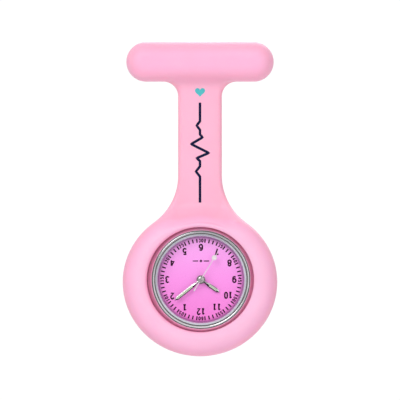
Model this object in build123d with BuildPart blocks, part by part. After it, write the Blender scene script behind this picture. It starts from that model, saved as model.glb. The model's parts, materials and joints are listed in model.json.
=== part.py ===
from build123d import *

# Nurse's fob watch: a quartz watch head in a silicone holder that hangs from a pin brooch.
#
# Frame: +Z up as the watch hangs, +X to the right seen from the front, and the dial faces -Y.
# The origin is the middle of the brooch needle's axis. The dial hangs upside down for everybody
# but its wearer, so twelve o'clock is at the bottom. All lengths are in millimetres.

import os
from math import asin, cos, degrees, pi, radians, sin, sqrt

os.makedirs("parts", exist_ok=True)

# ---- silicone holder ----
back_y = -0.9  # the flat back of the silicone; the brooch needle runs just behind it
bar_width = 39.8
bar_height = 10.65
bar_depth = 7.4
bar_front_fillet = 4.0
bar_back_fillet = 0.8
strap_width = 11.8
strap_depth = 3.2
strap_front_fillet = 1.1
strap_back_fillet = 0.4
bar_root_radius = 4.0  # concave corner where the strap leaves the bar
ring_root_radius = 15.7  # concave corner where the strap spreads into the ring
ring_half_width = 20.87
ring_half_height = 20.03
ring_centre_z = -59.45
ring_reach = 20.33  # from the ring's centre to where the spreading strap meets its outline
ring_depth = 9.0
ring_front_fillet = 4.0
ring_back_fillet = 1.4
lip_radius = 14.42  # the front opening grips the bezel here
lip_height = 2.5
opening_front = 4.15  # just in front of the ring, seen from the dial's back

# ---- watch head: heights are counted from the back of the dial towards the viewer ----
head_x = 0.25
head_z = -58.75
dial_back_y = -5.9
head_gap = 0.02  # the silicone pocket stands this far off the case
case_radius = 15.3
case_bore = 12.0
case_back_height = -3.5
case_foot_radius = 14.2
case_side_low = -2.2  # the case is widest between these two heights
case_side_high = 1.0
case_shoulder_radius = 14.6
case_shoulder = 1.9
bezel_seat_radius = 13.0
bezel_grip_radius = 14.4
bezel_crest = 4.1
crest_inner = 12.68
crest_outer = 12.98
crystal_radius = 12.3
crystal_low = 2.7
crystal_high = 3.9
crystal_chamfer = 0.15
gasket_radius = 12.5
dial_radius = 11.9
dial_thickness = 0.4
dial_hole = 0.95
dial_foot_radius = 0.35
dial_opening = 11.65  # the part of the dial that shows inside the flange
washer_radius = 1.6
back_opening_radius = 13.05
back_opening_low = -5.2  # just behind the silicone's back
lid_radius = 12.9
lid_outer = -4.3
lid_rim = (11.35, 11.9)  # inner and outer radius of the rim that snaps into the case
lid_rim_height = -3.0
back_groove = (12.2, 12.62)
back_groove_depth = 0.32
hair_gap = 0.01  # between pieces that touch, so that no two share a face

# ---- movement ----
plate_radius = 10.6
plate_low = -1.55
plate_high = -0.05
bridge_low = -3.35
bridge_high = -2.95
bridge_end_radius = 1.0
bridge_rotor_radius = 1.2
movement_ring_radius = 11.9
movement_ring_low = -2.9
works_floor = -0.75  # floor of the pocket for the wheels under the dial
lever_floor = -0.35  # floor of the pocket for the setting lever and the yoke
works_post_top = -0.15
lever_post_top = -0.08
hour_pocket_radius = 2.75
minute_pocket_radius = 2.5
setting_pocket_radius = 1.25
pivot_radius = 0.12
pivot_clearance = 0.03
pivot_low = -3.15
pivot_high = -1.2
pivot_hole_end = -1.15
post_radius = 0.25
post_clearance = 0.03
centre_hole_radius = 0.5
arbor_radius = 0.15  # the second hand's shaft
pipe_radius = 0.45  # the cannon pinion carries the minute hand on this pipe
pipe_bore = 0.22
pipe_low = -1.85
hour_pipe_radius = 0.8
pillar_radius = 0.9
clip_post_radius = 0.7
clip_post_end = -3.2
board_post_radius = 0.4
screw_radius = 0.25
screw_hole = 0.26
small_screw_radius = 0.19
small_screw_hole = 0.2
screw_slot_width = 0.14
screw_slot_depth = 0.07
stator_low = -1.95
stator_hole = 0.95
rotor_radius = 0.75
rotor_low = -2.1
rotor_high = -1.65
coil_core_low = -2.3
coil_half_span = 5.2
coil_arm_half_width = 0.4
coil_end_half_width = 0.7
winding_length = 6.6
winding_size = (1.7, 1.5)
winding_bore = (0.84, 0.39)
board_low = -2.85
board_high = -2.65
chip_thickness = 0.4
resonator_radius = 0.5
resonator_length = 3.4
battery_radius = 3.4
battery_low = -3.2
battery_step = -1.4  # the wide can ends here and its smaller cap starts
battery_high = -1.1
battery_cap_radius = 2.7
clip_low = -3.32
clip_thickness = 0.12
wheel_spacing = 3.6  # centre wheel to third wheel, and centre wheel to intermediate wheel
rotor_spacing = 2.8
works_spacing = 3.0
third_direction = 150.0
intermediate_direction = 75.0
rotor_direction = 50.0
minute_works_direction = -48.0
tooth_share = 0.42  # tooth thickness as a share of the tooth pitch
addendum = 0.9
dedendum = 1.2
tooth_tip_share = 0.5  # a tooth's tip is this much of its root's width
tooth_sink = 0.03  # a tooth starts this share of the root radius inside the root circle

# ---- wheels: (teeth, module, lowest height, highest height) ----
fine_module = 0.1
coarse_module = 0.15
hour_module = 0.12
setting_module = 0.125
second_module = 2 * wheel_spacing / (60 + 8)
second_pinion = (8, second_module, -2.3, -2.0)
second_teeth = (40, coarse_module, -2.65, -2.45)
third_pinion = (8, fine_module, -1.9, -1.6)
third_teeth = (60, second_module, -2.25, -2.05)
centre_teeth = (64, fine_module, -1.85, -1.65)
intermediate_pinion = (8, coarse_module, -2.7, -2.4)
intermediate_teeth = (48, fine_module, -2.9, -2.75)
rotor_teeth = (8, fine_module, -2.92, -2.72)
cannon_teeth = (12, setting_module, -0.72, -0.42)
minute_teeth = (36, setting_module, -0.7, -0.5)
minute_pinion = (10, hour_module, -0.5, -0.12)
hour_teeth = (40, hour_module, -0.35, -0.15)
setting_teeth = (16, setting_module, -0.7, -0.5)

# ---- hands ----
hour_angle = 304.3
minute_angle = 51.5
second_angle = 211.5
hand_thickness = 0.15
hand_bevel = 0.05
hour_hand_low = 1.0
minute_hand_low = 1.55
second_hand_low = 2.05
hour_window = (2.75, 5.1, 0.29)  # start, end and half width of the window for the lume
minute_window = (2.95, 8.1, 0.26)
second_cap_radius = 0.55
second_cap_height = 0.12

# ---- stem and crown ----
stem_height = -0.85
crown_radius = 1.6
crown_start = 15.5
crown_end = 17.3
crown_pull = 0.6
crown_room_start = 14.5
crown_room_width = 3.7
crown_room_gap = 0.25
knurls = 24
knurl_radius = 0.09
tube_radius = 0.75
tube_bore = 0.46
tube_end = 16.35
square_side = 0.46
stem_start = 5.9
journal_start = 7.7
journal_end = 10.3
journal_radius = 0.5
thread_radius = 0.42
stem_end = 16.9
groove_half = 0.17
groove_radius = 0.28
clutch_start = 5.85
clutch_length = 1.3
clutch_radius = 0.65
clutch_groove_radius = 0.41
clutch_tooth_depth = 0.2
arm_low = -0.3  # heights of the setting lever and the yoke
arm_high = -0.1
arm_hub_radius = 0.55
lever_pivot = (8.3, 2.0)
lever_pin = (8.3, 0.42)
yoke_pivot = (6.53, 2.2)
yoke_pin = (6.53, 0.58)

# ---- brooch ----
recess_length = 29.0
recess_height = 5.6
brooch_plate_length = 31.0
brooch_plate_height = 5.0
brooch_plate_back_y = -2.4
brooch_plate_thickness = 0.6
brooch_plate_gap = 0.02
needle_radius = 0.4
needle_half_length = 10.0
needle_shank_radius = 0.58  # between the needle and its hinge
needle_shoulder_x = 11.0  # the point is shaped in two steps
needle_tip_x = 12.9
hinge_x = -12.5
eye_radius = 0.72
eye_half_width = 0.6
rivet_radius = 0.35
rivet_head_radius = 0.58
rivet_head_thickness = 0.22
lug_low = 0.65
lug_high = 1.15
lug_radius = 0.75
catch_start_x = 11.2
catch_length = 1.6
catch_radius = 1.7
catch_bore = 1.2
catch_slot = 1.1
catch_stem_width = 1.9
drum_start_x = 10.95
drum_length = 2.3
drum_radius = 1.15
drum_flange_radius = 1.45
drum_flange_thickness = 0.22
drum_tab_x = 12.83
drum_tab_radius = 1.5

HEAD = Plane(origin=(head_x, dial_back_y, head_z), x_dir=(-1, 0, 0), z_dir=(0, -1, 0))
HEAD_AXIS = Axis((head_x, dial_back_y, head_z), (0, -1, 0))
SECTION = Plane(origin=(head_x, dial_back_y, head_z), x_dir=(1, 0, 0), z_dir=(0, 0, -1))
STEM = Plane(
    origin=(head_x, dial_back_y - stem_height, head_z), x_dir=(0, 0, -1), z_dir=(-1, 0, 0)
)

centre = (0.0, 0.0)
third = (
    wheel_spacing * cos(radians(third_direction)),
    wheel_spacing * sin(radians(third_direction)),
)
intermediate = (
    wheel_spacing * cos(radians(intermediate_direction)),
    wheel_spacing * sin(radians(intermediate_direction)),
)
rotor = (
    intermediate[0] + rotor_spacing * cos(radians(rotor_direction)),
    intermediate[1] + rotor_spacing * sin(radians(rotor_direction)),
)
minute_works = (
    works_spacing * cos(radians(minute_works_direction)),
    works_spacing * sin(radians(minute_works_direction)),
)
setting_spacing = setting_module * (minute_teeth[0] + setting_teeth[0]) / 2
setting = (
    minute_works[0] + sqrt(setting_spacing**2 - minute_works[1] ** 2),
    0.0,
)
battery_centre = (0.0, -6.85)
pillars = [(-6.5, 4.9), (6.0, 3.0), (-3.6, -2.9)]
clip_posts = [(-4.7, -6.85), (4.7, -6.85)]
board_posts = [(-8.9, -2.2), (-6.6, -5.6)]
coil_y = 8.0
coil_screws = [(-4.4, coil_y), (4.4, coil_y)]
dial_feet = [(-8.5, 3.5), (7.5, -5.5)]


def level(height):
    """The plane parallel to the dial at this height."""
    return HEAD.offset(height)


def turned(*outline, mode=Mode.ADD):
    """Turn a closed outline of (radius, height) points about the head's axis."""
    with BuildSketch(SECTION) as profile:
        with BuildLine():
            Polyline(*outline, close=True)
        make_face()
    revolve(profile.sketch, axis=HEAD_AXIS, mode=mode)


def round_post(spots, radius, low, high, mode=Mode.ADD):
    """Round posts, or holes, at these spots between two heights."""
    with BuildSketch(level(low)) as circles:
        with Locations(*spots):
            Circle(radius)
    extrude(circles.sketch, amount=high - low, mode=mode)


def block(x_range, y_range, low, high, mode=Mode.ADD):
    """A rectangular block in the head's frame."""
    middle = ((x_range[0] + x_range[1]) / 2, (y_range[0] + y_range[1]) / 2)
    with BuildSketch(level(low)) as footprint:
        with Locations(middle):
            Rectangle(x_range[1] - x_range[0], y_range[1] - y_range[0])
    extrude(footprint.sketch, amount=high - low, mode=mode)


def gear(wheel_size, spot, first_tooth, bore=0.0):
    """A spur wheel whose first tooth points in the direction first_tooth, in degrees."""
    teeth, module, low, high = wheel_size
    pitch_radius = teeth * module / 2
    root = pitch_radius - dedendum * module
    tip = pitch_radius + addendum * module
    half_pitch_width = pi * module * tooth_share / 2
    half_tip = half_pitch_width * tooth_tip_share
    half_root = 2 * half_pitch_width - half_tip
    sunk = -tooth_sink * root
    with BuildSketch(level(low)) as wheel:
        with Locations(spot):
            Circle(root)
            with PolarLocations(root, teeth, start_angle=first_tooth):
                Polygon(
                    (sunk, -half_root),
                    (tip - root, -half_tip),
                    (tip - root, half_tip),
                    (sunk, half_root),
                    align=Align.NONE,
                )
            if bore:
                Circle(bore, mode=Mode.SUBTRACT)
    extrude(wheel.sketch, amount=high - low)


def meshing_tooth(driver, first_tooth, direction, mate):
    """First-tooth direction of a mate that meshes with this driver and its first tooth."""
    shift = 0.5 - driver[0] * (first_tooth - direction) / 360
    return direction + 180 + shift * 360 / mate[0]


def hand_plane(angle, height):
    """A plane at this height whose x axis lies along a hand at this clock angle."""
    turn = radians(angle)
    return Plane(
        origin=level(height).origin, x_dir=(-sin(turn), 0, -cos(turn)), z_dir=(0, -1, 0)
    )


def finish(piece, name):
    """Label a finished piece and write its file."""
    piece.part.label = name
    export_step(piece.part, f"parts/{name}.step")


# ======== silicone holder ========

bar_bottom = -bar_height / 2
strap_half = strap_width / 2
# the spreading corner is an arc tangent to the strap's side and to the ring's outline
spread_x = strap_half + ring_root_radius
spread_reach = ring_reach + ring_root_radius
spread_z = ring_centre_z + sqrt(spread_reach**2 - spread_x**2)
tangent_x = spread_x * (1 - ring_root_radius / spread_reach)
tangent_z = spread_z + (ring_centre_z - spread_z) * ring_root_radius / spread_reach
arc_turn = asin((spread_x - tangent_x) / ring_root_radius)
arc_middle = (pi / 2 - arc_turn) / 2
spread_middle = (
    spread_x - ring_root_radius * cos(arc_middle),
    spread_z - ring_root_radius * sin(arc_middle),
)
corner = bar_root_radius
corner_middle = corner * (1 - sqrt(0.5))

MOULD_BACK = Plane.XZ.offset(-back_y)


def moulded(outline, depth, front_fillet, back_fillet):
    """A slab of silicone with rounded edges that stands forward from the holder's flat back."""
    with BuildPart(mode=Mode.PRIVATE) as slab:
        extrude(outline, amount=depth)
        fillet(slab.faces().sort_by(Axis.Y)[0].edges(), front_fillet)
        fillet(slab.faces().sort_by(Axis.Y)[-1].edges(), back_fillet)
    return slab.part


with BuildSketch(MOULD_BACK) as ring_outline:
    with Locations((0, ring_centre_z)):
        Ellipse(ring_half_width, ring_half_height)

with BuildSketch(MOULD_BACK) as bar_outline:
    SlotOverall(bar_width, bar_height)

# the strap runs on into the middle of the bar and of the ring
with BuildSketch(MOULD_BACK) as strap_outline:
    with BuildLine():
        Line((0, 0), (strap_half + corner, 0))
        Line((strap_half + corner, 0), (strap_half + corner, bar_bottom))
        ThreePointArc(
            (strap_half + corner, bar_bottom),
            (strap_half + corner_middle, bar_bottom - corner_middle),
            (strap_half, bar_bottom - corner),
        )
        Line((strap_half, bar_bottom - corner), (strap_half, spread_z))
        ThreePointArc((strap_half, spread_z), spread_middle, (tangent_x, tangent_z))
        Line((tangent_x, tangent_z), (0, ring_centre_z))
        Line((0, ring_centre_z), (0, 0))
    make_face()
    mirror(about=Plane.YZ)

with BuildPart() as silicone_holder:
    add(moulded(ring_outline.sketch, ring_depth, ring_front_fillet, ring_back_fillet))
    add(moulded(bar_outline.sketch, bar_depth, bar_front_fillet, bar_back_fillet))
    add(moulded(strap_outline.sketch, strap_depth, strap_front_fillet, strap_back_fillet))
    # pocket for the watch head, open in front over the dial and behind over the case back
    turned(
        (0, back_opening_low),
        (back_opening_radius, back_opening_low),
        (back_opening_radius, case_back_height),
        (case_foot_radius + head_gap, case_back_height),
        (case_radius + head_gap, case_side_low),
        (case_radius + head_gap, case_side_high),
        (case_shoulder_radius + head_gap, case_shoulder),
        (lip_radius, lip_height),
        (lip_radius, 3.0),
        (14.5, 3.4),
        (14.75, 3.7),
        (15.2, 3.93),
        (15.9, 4.06),
        (16.4, opening_front),
        (0, opening_front),
        mode=Mode.SUBTRACT,
    )
    # room for the crown, closed from the front, with space to pull it out
    with BuildSketch(STEM.offset(crown_room_start)):
        RectangleRounded(crown_room_width, crown_room_width, 0.8)
    crown_room_end = crown_end + crown_pull + crown_room_gap
    extrude(amount=crown_room_end - crown_room_start, mode=Mode.SUBTRACT)
    # recess for the brooch, undercut at both ends to hold its plate
    with BuildSketch(Plane.XZ.offset(-back_y)):
        RectangleRounded(recess_length, recess_height, 1.2)
    recess_depth = back_y - brooch_plate_back_y + brooch_plate_thickness + brooch_plate_gap
    extrude(amount=recess_depth, mode=Mode.SUBTRACT)
    with BuildSketch(Plane.XZ.offset(-brooch_plate_back_y - brooch_plate_gap)):
        Rectangle(brooch_plate_length + 0.1, brooch_plate_height + 0.1)
    extrude(amount=brooch_plate_thickness + 2 * brooch_plate_gap, mode=Mode.SUBTRACT)
finish(silicone_holder, "silicone_holder")


# ======== watch case ========

with BuildPart() as case_middle:
    turned(
        (case_bore, case_back_height),
        (case_bore, crystal_low),
        (bezel_seat_radius, crystal_low),
        (bezel_seat_radius, case_shoulder),
        (case_shoulder_radius, case_shoulder),
        (case_radius, case_side_high),
        (case_radius, case_side_low),
        (case_foot_radius, case_back_height),
    )
    # groove for the back's seal
    turned(
        (back_groove[0], case_back_height - 0.1),
        (back_groove[0], case_back_height + back_groove_depth),
        (back_groove[1], case_back_height + back_groove_depth),
        (back_groove[1], case_back_height - 0.1),
        mode=Mode.SUBTRACT,
    )
    with BuildSketch(STEM.offset(case_bore - 0.5)):
        Circle(tube_radius + hair_gap)
    extrude(amount=case_radius - case_bore + 1.2, mode=Mode.SUBTRACT)
finish(case_middle, "case_middle")

with BuildPart() as bezel_ring:
    turned(
        (bezel_seat_radius + hair_gap, case_shoulder + hair_gap),
        (bezel_seat_radius + hair_gap, crystal_low + hair_gap),
        (gasket_radius, crystal_low + hair_gap),
        (gasket_radius, bezel_crest - 0.12),
        (crest_inner, bezel_crest),
        (crest_outer, bezel_crest),
        (crest_outer + 0.22, bezel_crest - 0.2),
        (bezel_grip_radius, lip_height),
        (case_shoulder_radius - 0.02, case_shoulder + hair_gap),
    )
finish(bezel_ring, "bezel_ring")

with BuildPart() as crystal:
    turned(
        (0, crystal_low),
        (crystal_radius - 2 * hair_gap, crystal_low),
        (crystal_radius - 2 * hair_gap, crystal_high - crystal_chamfer),
        (crystal_radius - 2 * hair_gap - crystal_chamfer, crystal_high),
        (0, crystal_high),
    )
finish(crystal, "crystal")

with BuildPart() as crystal_gasket:
    turned(
        (crystal_radius, crystal_low + hair_gap),
        (crystal_radius, crystal_high - 0.05),
        (gasket_radius - 2 * hair_gap, crystal_high - 0.05),
        (gasket_radius - 2 * hair_gap, crystal_low + hair_gap),
    )
finish(crystal_gasket, "crystal_gasket")

with BuildPart() as rehaut_ring:
    turned(
        (dial_opening, dial_thickness + hair_gap),
        (dial_opening + 0.07, dial_thickness + 0.6),
        (dial_opening + 0.25, crystal_low - 0.05),
        (case_bore - 2 * hair_gap, crystal_low - 0.05),
        (case_bore - 2 * hair_gap, dial_thickness + hair_gap),
    )
finish(rehaut_ring, "rehaut_ring")

with BuildPart() as case_back:
    turned(
        (0, case_back_height),
        (lid_rim[0], case_back_height),
        (lid_rim[0], lid_rim_height),
        (lid_rim[1], lid_rim_height),
        (lid_rim[1], case_back_height),
        (lid_radius, case_back_height),
        (lid_radius, lid_outer + 0.3),
        (lid_radius - 0.5, lid_outer),
        (0, lid_outer),
    )
    # notch for a case knife
    with BuildSketch(level(lid_outer - 0.1)):
        with Locations((0, lid_radius)):
            Rectangle(3.0, 1.0)
    extrude(amount=0.5, mode=Mode.SUBTRACT)
finish(case_back, "case_back")

with BuildPart() as case_back_gasket:
    turned(
        (back_groove[0] + 0.05, case_back_height + hair_gap),
        (back_groove[0] + 0.05, case_back_height + back_groove_depth - 0.02),
        (back_groove[1] - 0.02, case_back_height + back_groove_depth - 0.02),
        (back_groove[1] - 0.02, case_back_height + hair_gap),
    )
finish(case_back_gasket, "case_back_gasket")

with BuildPart() as case_tube:
    tube_start = case_bore + 0.05
    with BuildSketch(STEM.offset(tube_start)):
        Circle(tube_radius)
        Circle(tube_bore, mode=Mode.SUBTRACT)
    extrude(amount=tube_end - tube_start)
finish(case_tube, "case_tube")

# ======== dial ========

with BuildPart() as dial:
    round_post([centre], dial_radius, 0, dial_thickness)
    round_post([centre], dial_hole, 0, dial_thickness, mode=Mode.SUBTRACT)
    round_post(dial_feet, dial_foot_radius, -1.0, 0)
finish(dial, "dial")

with BuildPart() as dial_washer:
    washer_low = -0.13
    washer_high = -0.02
    round_post([centre], washer_radius, washer_low, washer_high)
    round_post([centre], hour_pipe_radius + 0.08, washer_low, washer_high, mode=Mode.SUBTRACT)
finish(dial_washer, "dial_washer")

# ======== movement: fixed pieces ========

stem_bore = journal_radius + 0.02

with BuildPart() as main_plate:
    round_post([centre], plate_radius, plate_low, plate_high)
    round_post(pillars, pillar_radius, bridge_high, plate_low)
    round_post(clip_posts, clip_post_radius, clip_post_end, plate_low)
    round_post(board_posts, board_post_radius, board_high, plate_low)
    # pockets under the dial, and the posts that stand in them
    for spot, reach in (
        (centre, hour_pocket_radius),
        (minute_works, minute_pocket_radius),
        (setting, setting_pocket_radius),
    ):
        round_post([spot], reach, works_floor, plate_high, mode=Mode.SUBTRACT)
    block((5.3, 9.6), (-0.6, 2.95), lever_floor, plate_high, mode=Mode.SUBTRACT)
    round_post([minute_works, setting], post_radius, works_floor, works_post_top)
    round_post([lever_pivot, yoke_pivot], post_radius, lever_floor, lever_post_top)
    # slots for the clutch wheel, the stem and the pins that reach into their grooves
    block((5.3, journal_start), (-0.8, 0.8), plate_low, plate_high, mode=Mode.SUBTRACT)
    block((journal_start, 9.3), (0.0, 0.9), -1.2, plate_high, mode=Mode.SUBTRACT)
    block(
        (journal_start, plate_radius + 1),
        (-stem_bore, stem_bore),
        stem_height,
        plate_high,
        mode=Mode.SUBTRACT,
    )
    with BuildSketch(STEM.offset(journal_start)):
        Circle(stem_bore)
    extrude(amount=plate_radius + 1 - journal_start, mode=Mode.SUBTRACT)
    # openings for the battery and the coil
    battery_opening = battery_radius + 0.1
    coil_half = winding_length / 2 + 0.2
    round_post([battery_centre], battery_opening, plate_low, -1.05, mode=Mode.SUBTRACT)
    block((-coil_half, coil_half), (coil_y - 1, coil_y + 1), plate_low, -1.35, mode=Mode.SUBTRACT)
    # holes for the centre pipe, the pivots, the screws and the dial's feet
    pivot_hole = pivot_radius + pivot_clearance
    for spots, radius, low, high in (
        ([centre], centre_hole_radius, plate_low, works_floor),
        ([third, intermediate, rotor], pivot_hole, plate_low, pivot_hole_end),
        (pillars, screw_hole, bridge_high, -1.9),
        (clip_posts, screw_hole, clip_post_end, -2.1),
        (board_posts, small_screw_hole, board_high, -2.0),
        (coil_screws, screw_hole, plate_low, -0.85),
        (dial_feet, dial_foot_radius + 0.03, -1.1, plate_high),
    ):
        round_post(spots, radius, low, high, mode=Mode.SUBTRACT)
finish(main_plate, "main_plate")

with BuildPart() as movement_ring:
    ring_bore = plate_radius + 0.04
    round_post([centre], movement_ring_radius, movement_ring_low, plate_high)
    round_post([centre], ring_bore, movement_ring_low, plate_high, mode=Mode.SUBTRACT)
    # the gap that the stem passes through
    gap_low = plate_low + 0.05
    block((plate_radius - 1, case_bore), (-0.7, 0.7), gap_low, plate_high, mode=Mode.SUBTRACT)
finish(movement_ring, "movement_ring")

with BuildPart() as train_bridge:
    with BuildSketch(level(bridge_low)):
        with Locations(*pillars):
            Circle(bridge_end_radius)
        with Locations(rotor):
            Circle(bridge_rotor_radius)
        make_hull()
    extrude(amount=bridge_high - bridge_low)
    for spots, radius, high in (
        ([centre], arbor_radius + pivot_clearance, bridge_high),
        ([third, intermediate, rotor], pivot_hole, bridge_high),
        (pillars, screw_hole, bridge_high),
        (pillars, 0.6, bridge_low + 0.15),
    ):
        round_post(spots, radius, bridge_low, high, mode=Mode.SUBTRACT)
finish(train_bridge, "train_bridge")

with BuildPart() as movement_screws:
    # places, shank radius, head radius, head's outer height, head thickness, tip height
    for spots, shank, head_radius, head_low, head_thick, tip in (
        (pillars, screw_radius, 0.55, -3.4, 0.2, -1.95),
        (clip_posts, screw_radius, 0.5, -3.45, 0.13, -2.15),
        (coil_screws, screw_radius, 0.55, -2.55, 0.25, -0.9),
        (board_posts, small_screw_radius, 0.38, -3.0, 0.15, -2.05),
    ):
        round_post(spots, head_radius, head_low, head_low + head_thick)
        round_post(spots, shank, head_low + head_thick, tip)
        with BuildSketch(level(head_low)):
            with Locations(*spots):
                Rectangle(3 * head_radius, screw_slot_width)
        extrude(amount=screw_slot_depth, mode=Mode.SUBTRACT)
finish(movement_screws, "movement_screws")

with BuildPart() as stator:
    block((-5.3, 5.3), (4.3, 6.9), stator_low, plate_low)
    block((-5.3, -3.6), (6.9, 8.7), stator_low, plate_low)
    block((3.6, 5.3), (6.9, 8.7), stator_low, plate_low)
    round_post([rotor], stator_hole, stator_low, plate_low, mode=Mode.SUBTRACT)
    # the two notches that give the rotor its resting direction
    with BuildSketch(level(stator_low)):
        with Locations(rotor):
            Rectangle(0.3, 2 * stator_hole + 0.4, rotation=35)
    extrude(amount=plate_low - stator_low, mode=Mode.SUBTRACT)
    round_post(coil_screws, screw_hole, stator_low, plate_low, mode=Mode.SUBTRACT)
finish(stator, "stator")

with BuildPart() as coil_core:
    for x_range, half_width in (
        ((-coil_half_span, coil_half_span), coil_arm_half_width),
        ((-coil_half_span, -3.7), coil_end_half_width),
        ((3.7, coil_half_span), coil_end_half_width),
    ):
        y_range = (coil_y - half_width, coil_y + half_width)
        block(x_range, y_range, coil_core_low, stator_low)
    round_post(coil_screws, screw_hole, coil_core_low, stator_low, mode=Mode.SUBTRACT)
finish(coil_core, "coil_core")

with BuildPart() as coil_winding:
    # wound round the core between its two ends
    core_middle = (coil_core_low + stator_low) / 2
    coil_side = Plane(
        origin=level(core_middle).from_local_coords((-winding_length / 2, coil_y, 0)),
        x_dir=HEAD.y_dir,
        z_dir=HEAD.x_dir,
    )
    with BuildSketch(coil_side):
        RectangleRounded(*winding_size, 0.6)
        Rectangle(*winding_bore, mode=Mode.SUBTRACT)
    extrude(amount=winding_length)
finish(coil_winding, "coil_winding")

with BuildPart() as circuit_board:
    with BuildSketch(level(board_low)):
        Polygon(
            (-9.3, -0.6),
            (-5.0, -1.6),
            (-5.0, -5.2),
            (-6.4, -6.6),
            (-7.2, -6.6),
            (-9.5, -3.2),
            align=Align.NONE,
        )
    extrude(amount=board_high - board_low)
    round_post(board_posts, small_screw_hole, board_low, board_high, mode=Mode.SUBTRACT)
finish(circuit_board, "circuit_board")

with BuildPart() as ic_chip:
    block((-6.8, -5.3), (-4.4, -2.9), board_high, board_high + chip_thickness)
    chamfer(edges().group_by(Axis.Y)[0], 0.12)
finish(ic_chip, "ic_chip")

with BuildPart() as quartz_resonator:
    can_end = Plane(
        origin=level(board_high + resonator_radius + 0.02).from_local_coords((-7.6, -5.0, 0)),
        x_dir=HEAD.x_dir,
        z_dir=HEAD.y_dir,
    )
    with BuildSketch(can_end):
        Circle(resonator_radius)
    extrude(amount=resonator_length)
    fillet(edges().group_by(Axis.Z)[0], 0.15)
finish(quartz_resonator, "quartz_resonator")

with BuildPart() as battery:
    round_post([battery_centre], battery_radius, battery_low, battery_step)
    round_post([battery_centre], battery_cap_radius, battery_step, battery_high)
finish(battery, "battery")

with BuildPart() as battery_clip:
    with BuildSketch(level(clip_low)):
        with Locations(battery_centre):
            SlotOverall(10.8, 1.5)
            SlotOverall(4.4, 0.6, mode=Mode.SUBTRACT)
        with Locations(*clip_posts):
            Circle(screw_hole, mode=Mode.SUBTRACT)
    extrude(amount=clip_thickness)
finish(battery_clip, "battery_clip")

# ======== movement: wheels ========

# each first tooth's direction follows from the wheel that drives it, so all teeth mesh at rest
first_tooth = 0.0
third_tooth = meshing_tooth(second_pinion, first_tooth, third_direction, third_teeth)
centre_tooth = meshing_tooth(third_pinion, third_tooth, third_direction + 180, centre_teeth)
intermediate_tooth = meshing_tooth(
    second_teeth, first_tooth, intermediate_direction, intermediate_pinion
)
rotor_tooth = meshing_tooth(intermediate_teeth, intermediate_tooth, rotor_direction, rotor_teeth)
minute_tooth = meshing_tooth(cannon_teeth, first_tooth, minute_works_direction, minute_teeth)
hour_tooth = meshing_tooth(minute_pinion, minute_tooth, minute_works_direction + 180, hour_teeth)
setting_direction = degrees(asin(-minute_works[1] / setting_spacing))
setting_tooth = meshing_tooth(minute_teeth, minute_tooth, setting_direction, setting_teeth)

with BuildPart() as second_wheel:
    gear(second_pinion, centre, first_tooth)
    gear(second_teeth, centre, first_tooth)
    round_post([centre], arbor_radius, pivot_low, second_hand_low + hand_thickness)
finish(second_wheel, "second_wheel")

with BuildPart() as third_wheel:
    gear(third_pinion, third, third_tooth)
    gear(third_teeth, third, third_tooth)
    round_post([third], pivot_radius, pivot_low, pivot_high)
finish(third_wheel, "third_wheel")

with BuildPart() as intermediate_wheel:
    gear(intermediate_pinion, intermediate, intermediate_tooth)
    gear(intermediate_teeth, intermediate, intermediate_tooth)
    round_post([intermediate], pivot_radius, pivot_low, pivot_high)
finish(intermediate_wheel, "intermediate_wheel")

with BuildPart() as rotor_pinion:
    gear(rotor_teeth, rotor, rotor_tooth)
    round_post([rotor], pivot_radius, pivot_low, pivot_high)
finish(rotor_pinion, "rotor_pinion")

with BuildPart() as rotor_magnet:
    round_post([rotor], rotor_radius, rotor_low, rotor_high)
    round_post([rotor], pivot_radius + hair_gap, rotor_low, rotor_high, mode=Mode.SUBTRACT)
finish(rotor_magnet, "rotor_magnet")

with BuildPart() as center_wheel:
    gear(centre_teeth, centre, centre_tooth, bore=pipe_radius + hair_gap)
finish(center_wheel, "center_wheel")

with BuildPart() as cannon_pinion:
    pipe_high = minute_hand_low + hand_thickness
    gear(cannon_teeth, centre, first_tooth)
    round_post([centre], pipe_radius, pipe_low, pipe_high)
    round_post([centre], pipe_bore, pipe_low, pipe_high, mode=Mode.SUBTRACT)
finish(cannon_pinion, "cannon_pinion")

with BuildPart() as hour_wheel:
    hour_pipe_low = hour_teeth[2]
    hour_pipe_high = hour_hand_low + hand_thickness
    gear(hour_teeth, centre, hour_tooth)
    round_post([centre], hour_pipe_radius, hour_pipe_low, hour_pipe_high)
    round_post([centre], pipe_radius + 0.05, hour_pipe_low, hour_pipe_high, mode=Mode.SUBTRACT)
finish(hour_wheel, "hour_wheel")

post_bore = post_radius + post_clearance
with BuildPart() as minute_wheel:
    gear(minute_teeth, minute_works, minute_tooth)
    gear(minute_pinion, minute_works, minute_tooth)
    round_post([minute_works], post_bore, minute_teeth[2], minute_pinion[3], mode=Mode.SUBTRACT)
finish(minute_wheel, "minute_wheel")

with BuildPart() as setting_wheel:
    gear(setting_teeth, setting, setting_tooth, bore=post_bore)
finish(setting_wheel, "setting_wheel")

# ======== stem, crown and setting parts ========

with BuildPart() as stem:
    with BuildSketch(STEM.offset(stem_start)):
        Rectangle(square_side, square_side)
    extrude(amount=journal_start - stem_start)
    with BuildSketch(STEM.offset(journal_start)):
        Circle(journal_radius)
    extrude(amount=journal_end - journal_start)
    with BuildSketch(STEM.offset(lever_pin[0] - groove_half)):
        Circle(journal_radius + 0.1)
        Circle(groove_radius, mode=Mode.SUBTRACT)
    extrude(amount=2 * groove_half, mode=Mode.SUBTRACT)
    with BuildSketch(STEM.offset(journal_end)):
        Circle(thread_radius)
    extrude(amount=stem_end - journal_end)
finish(stem, "stem")

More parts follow.
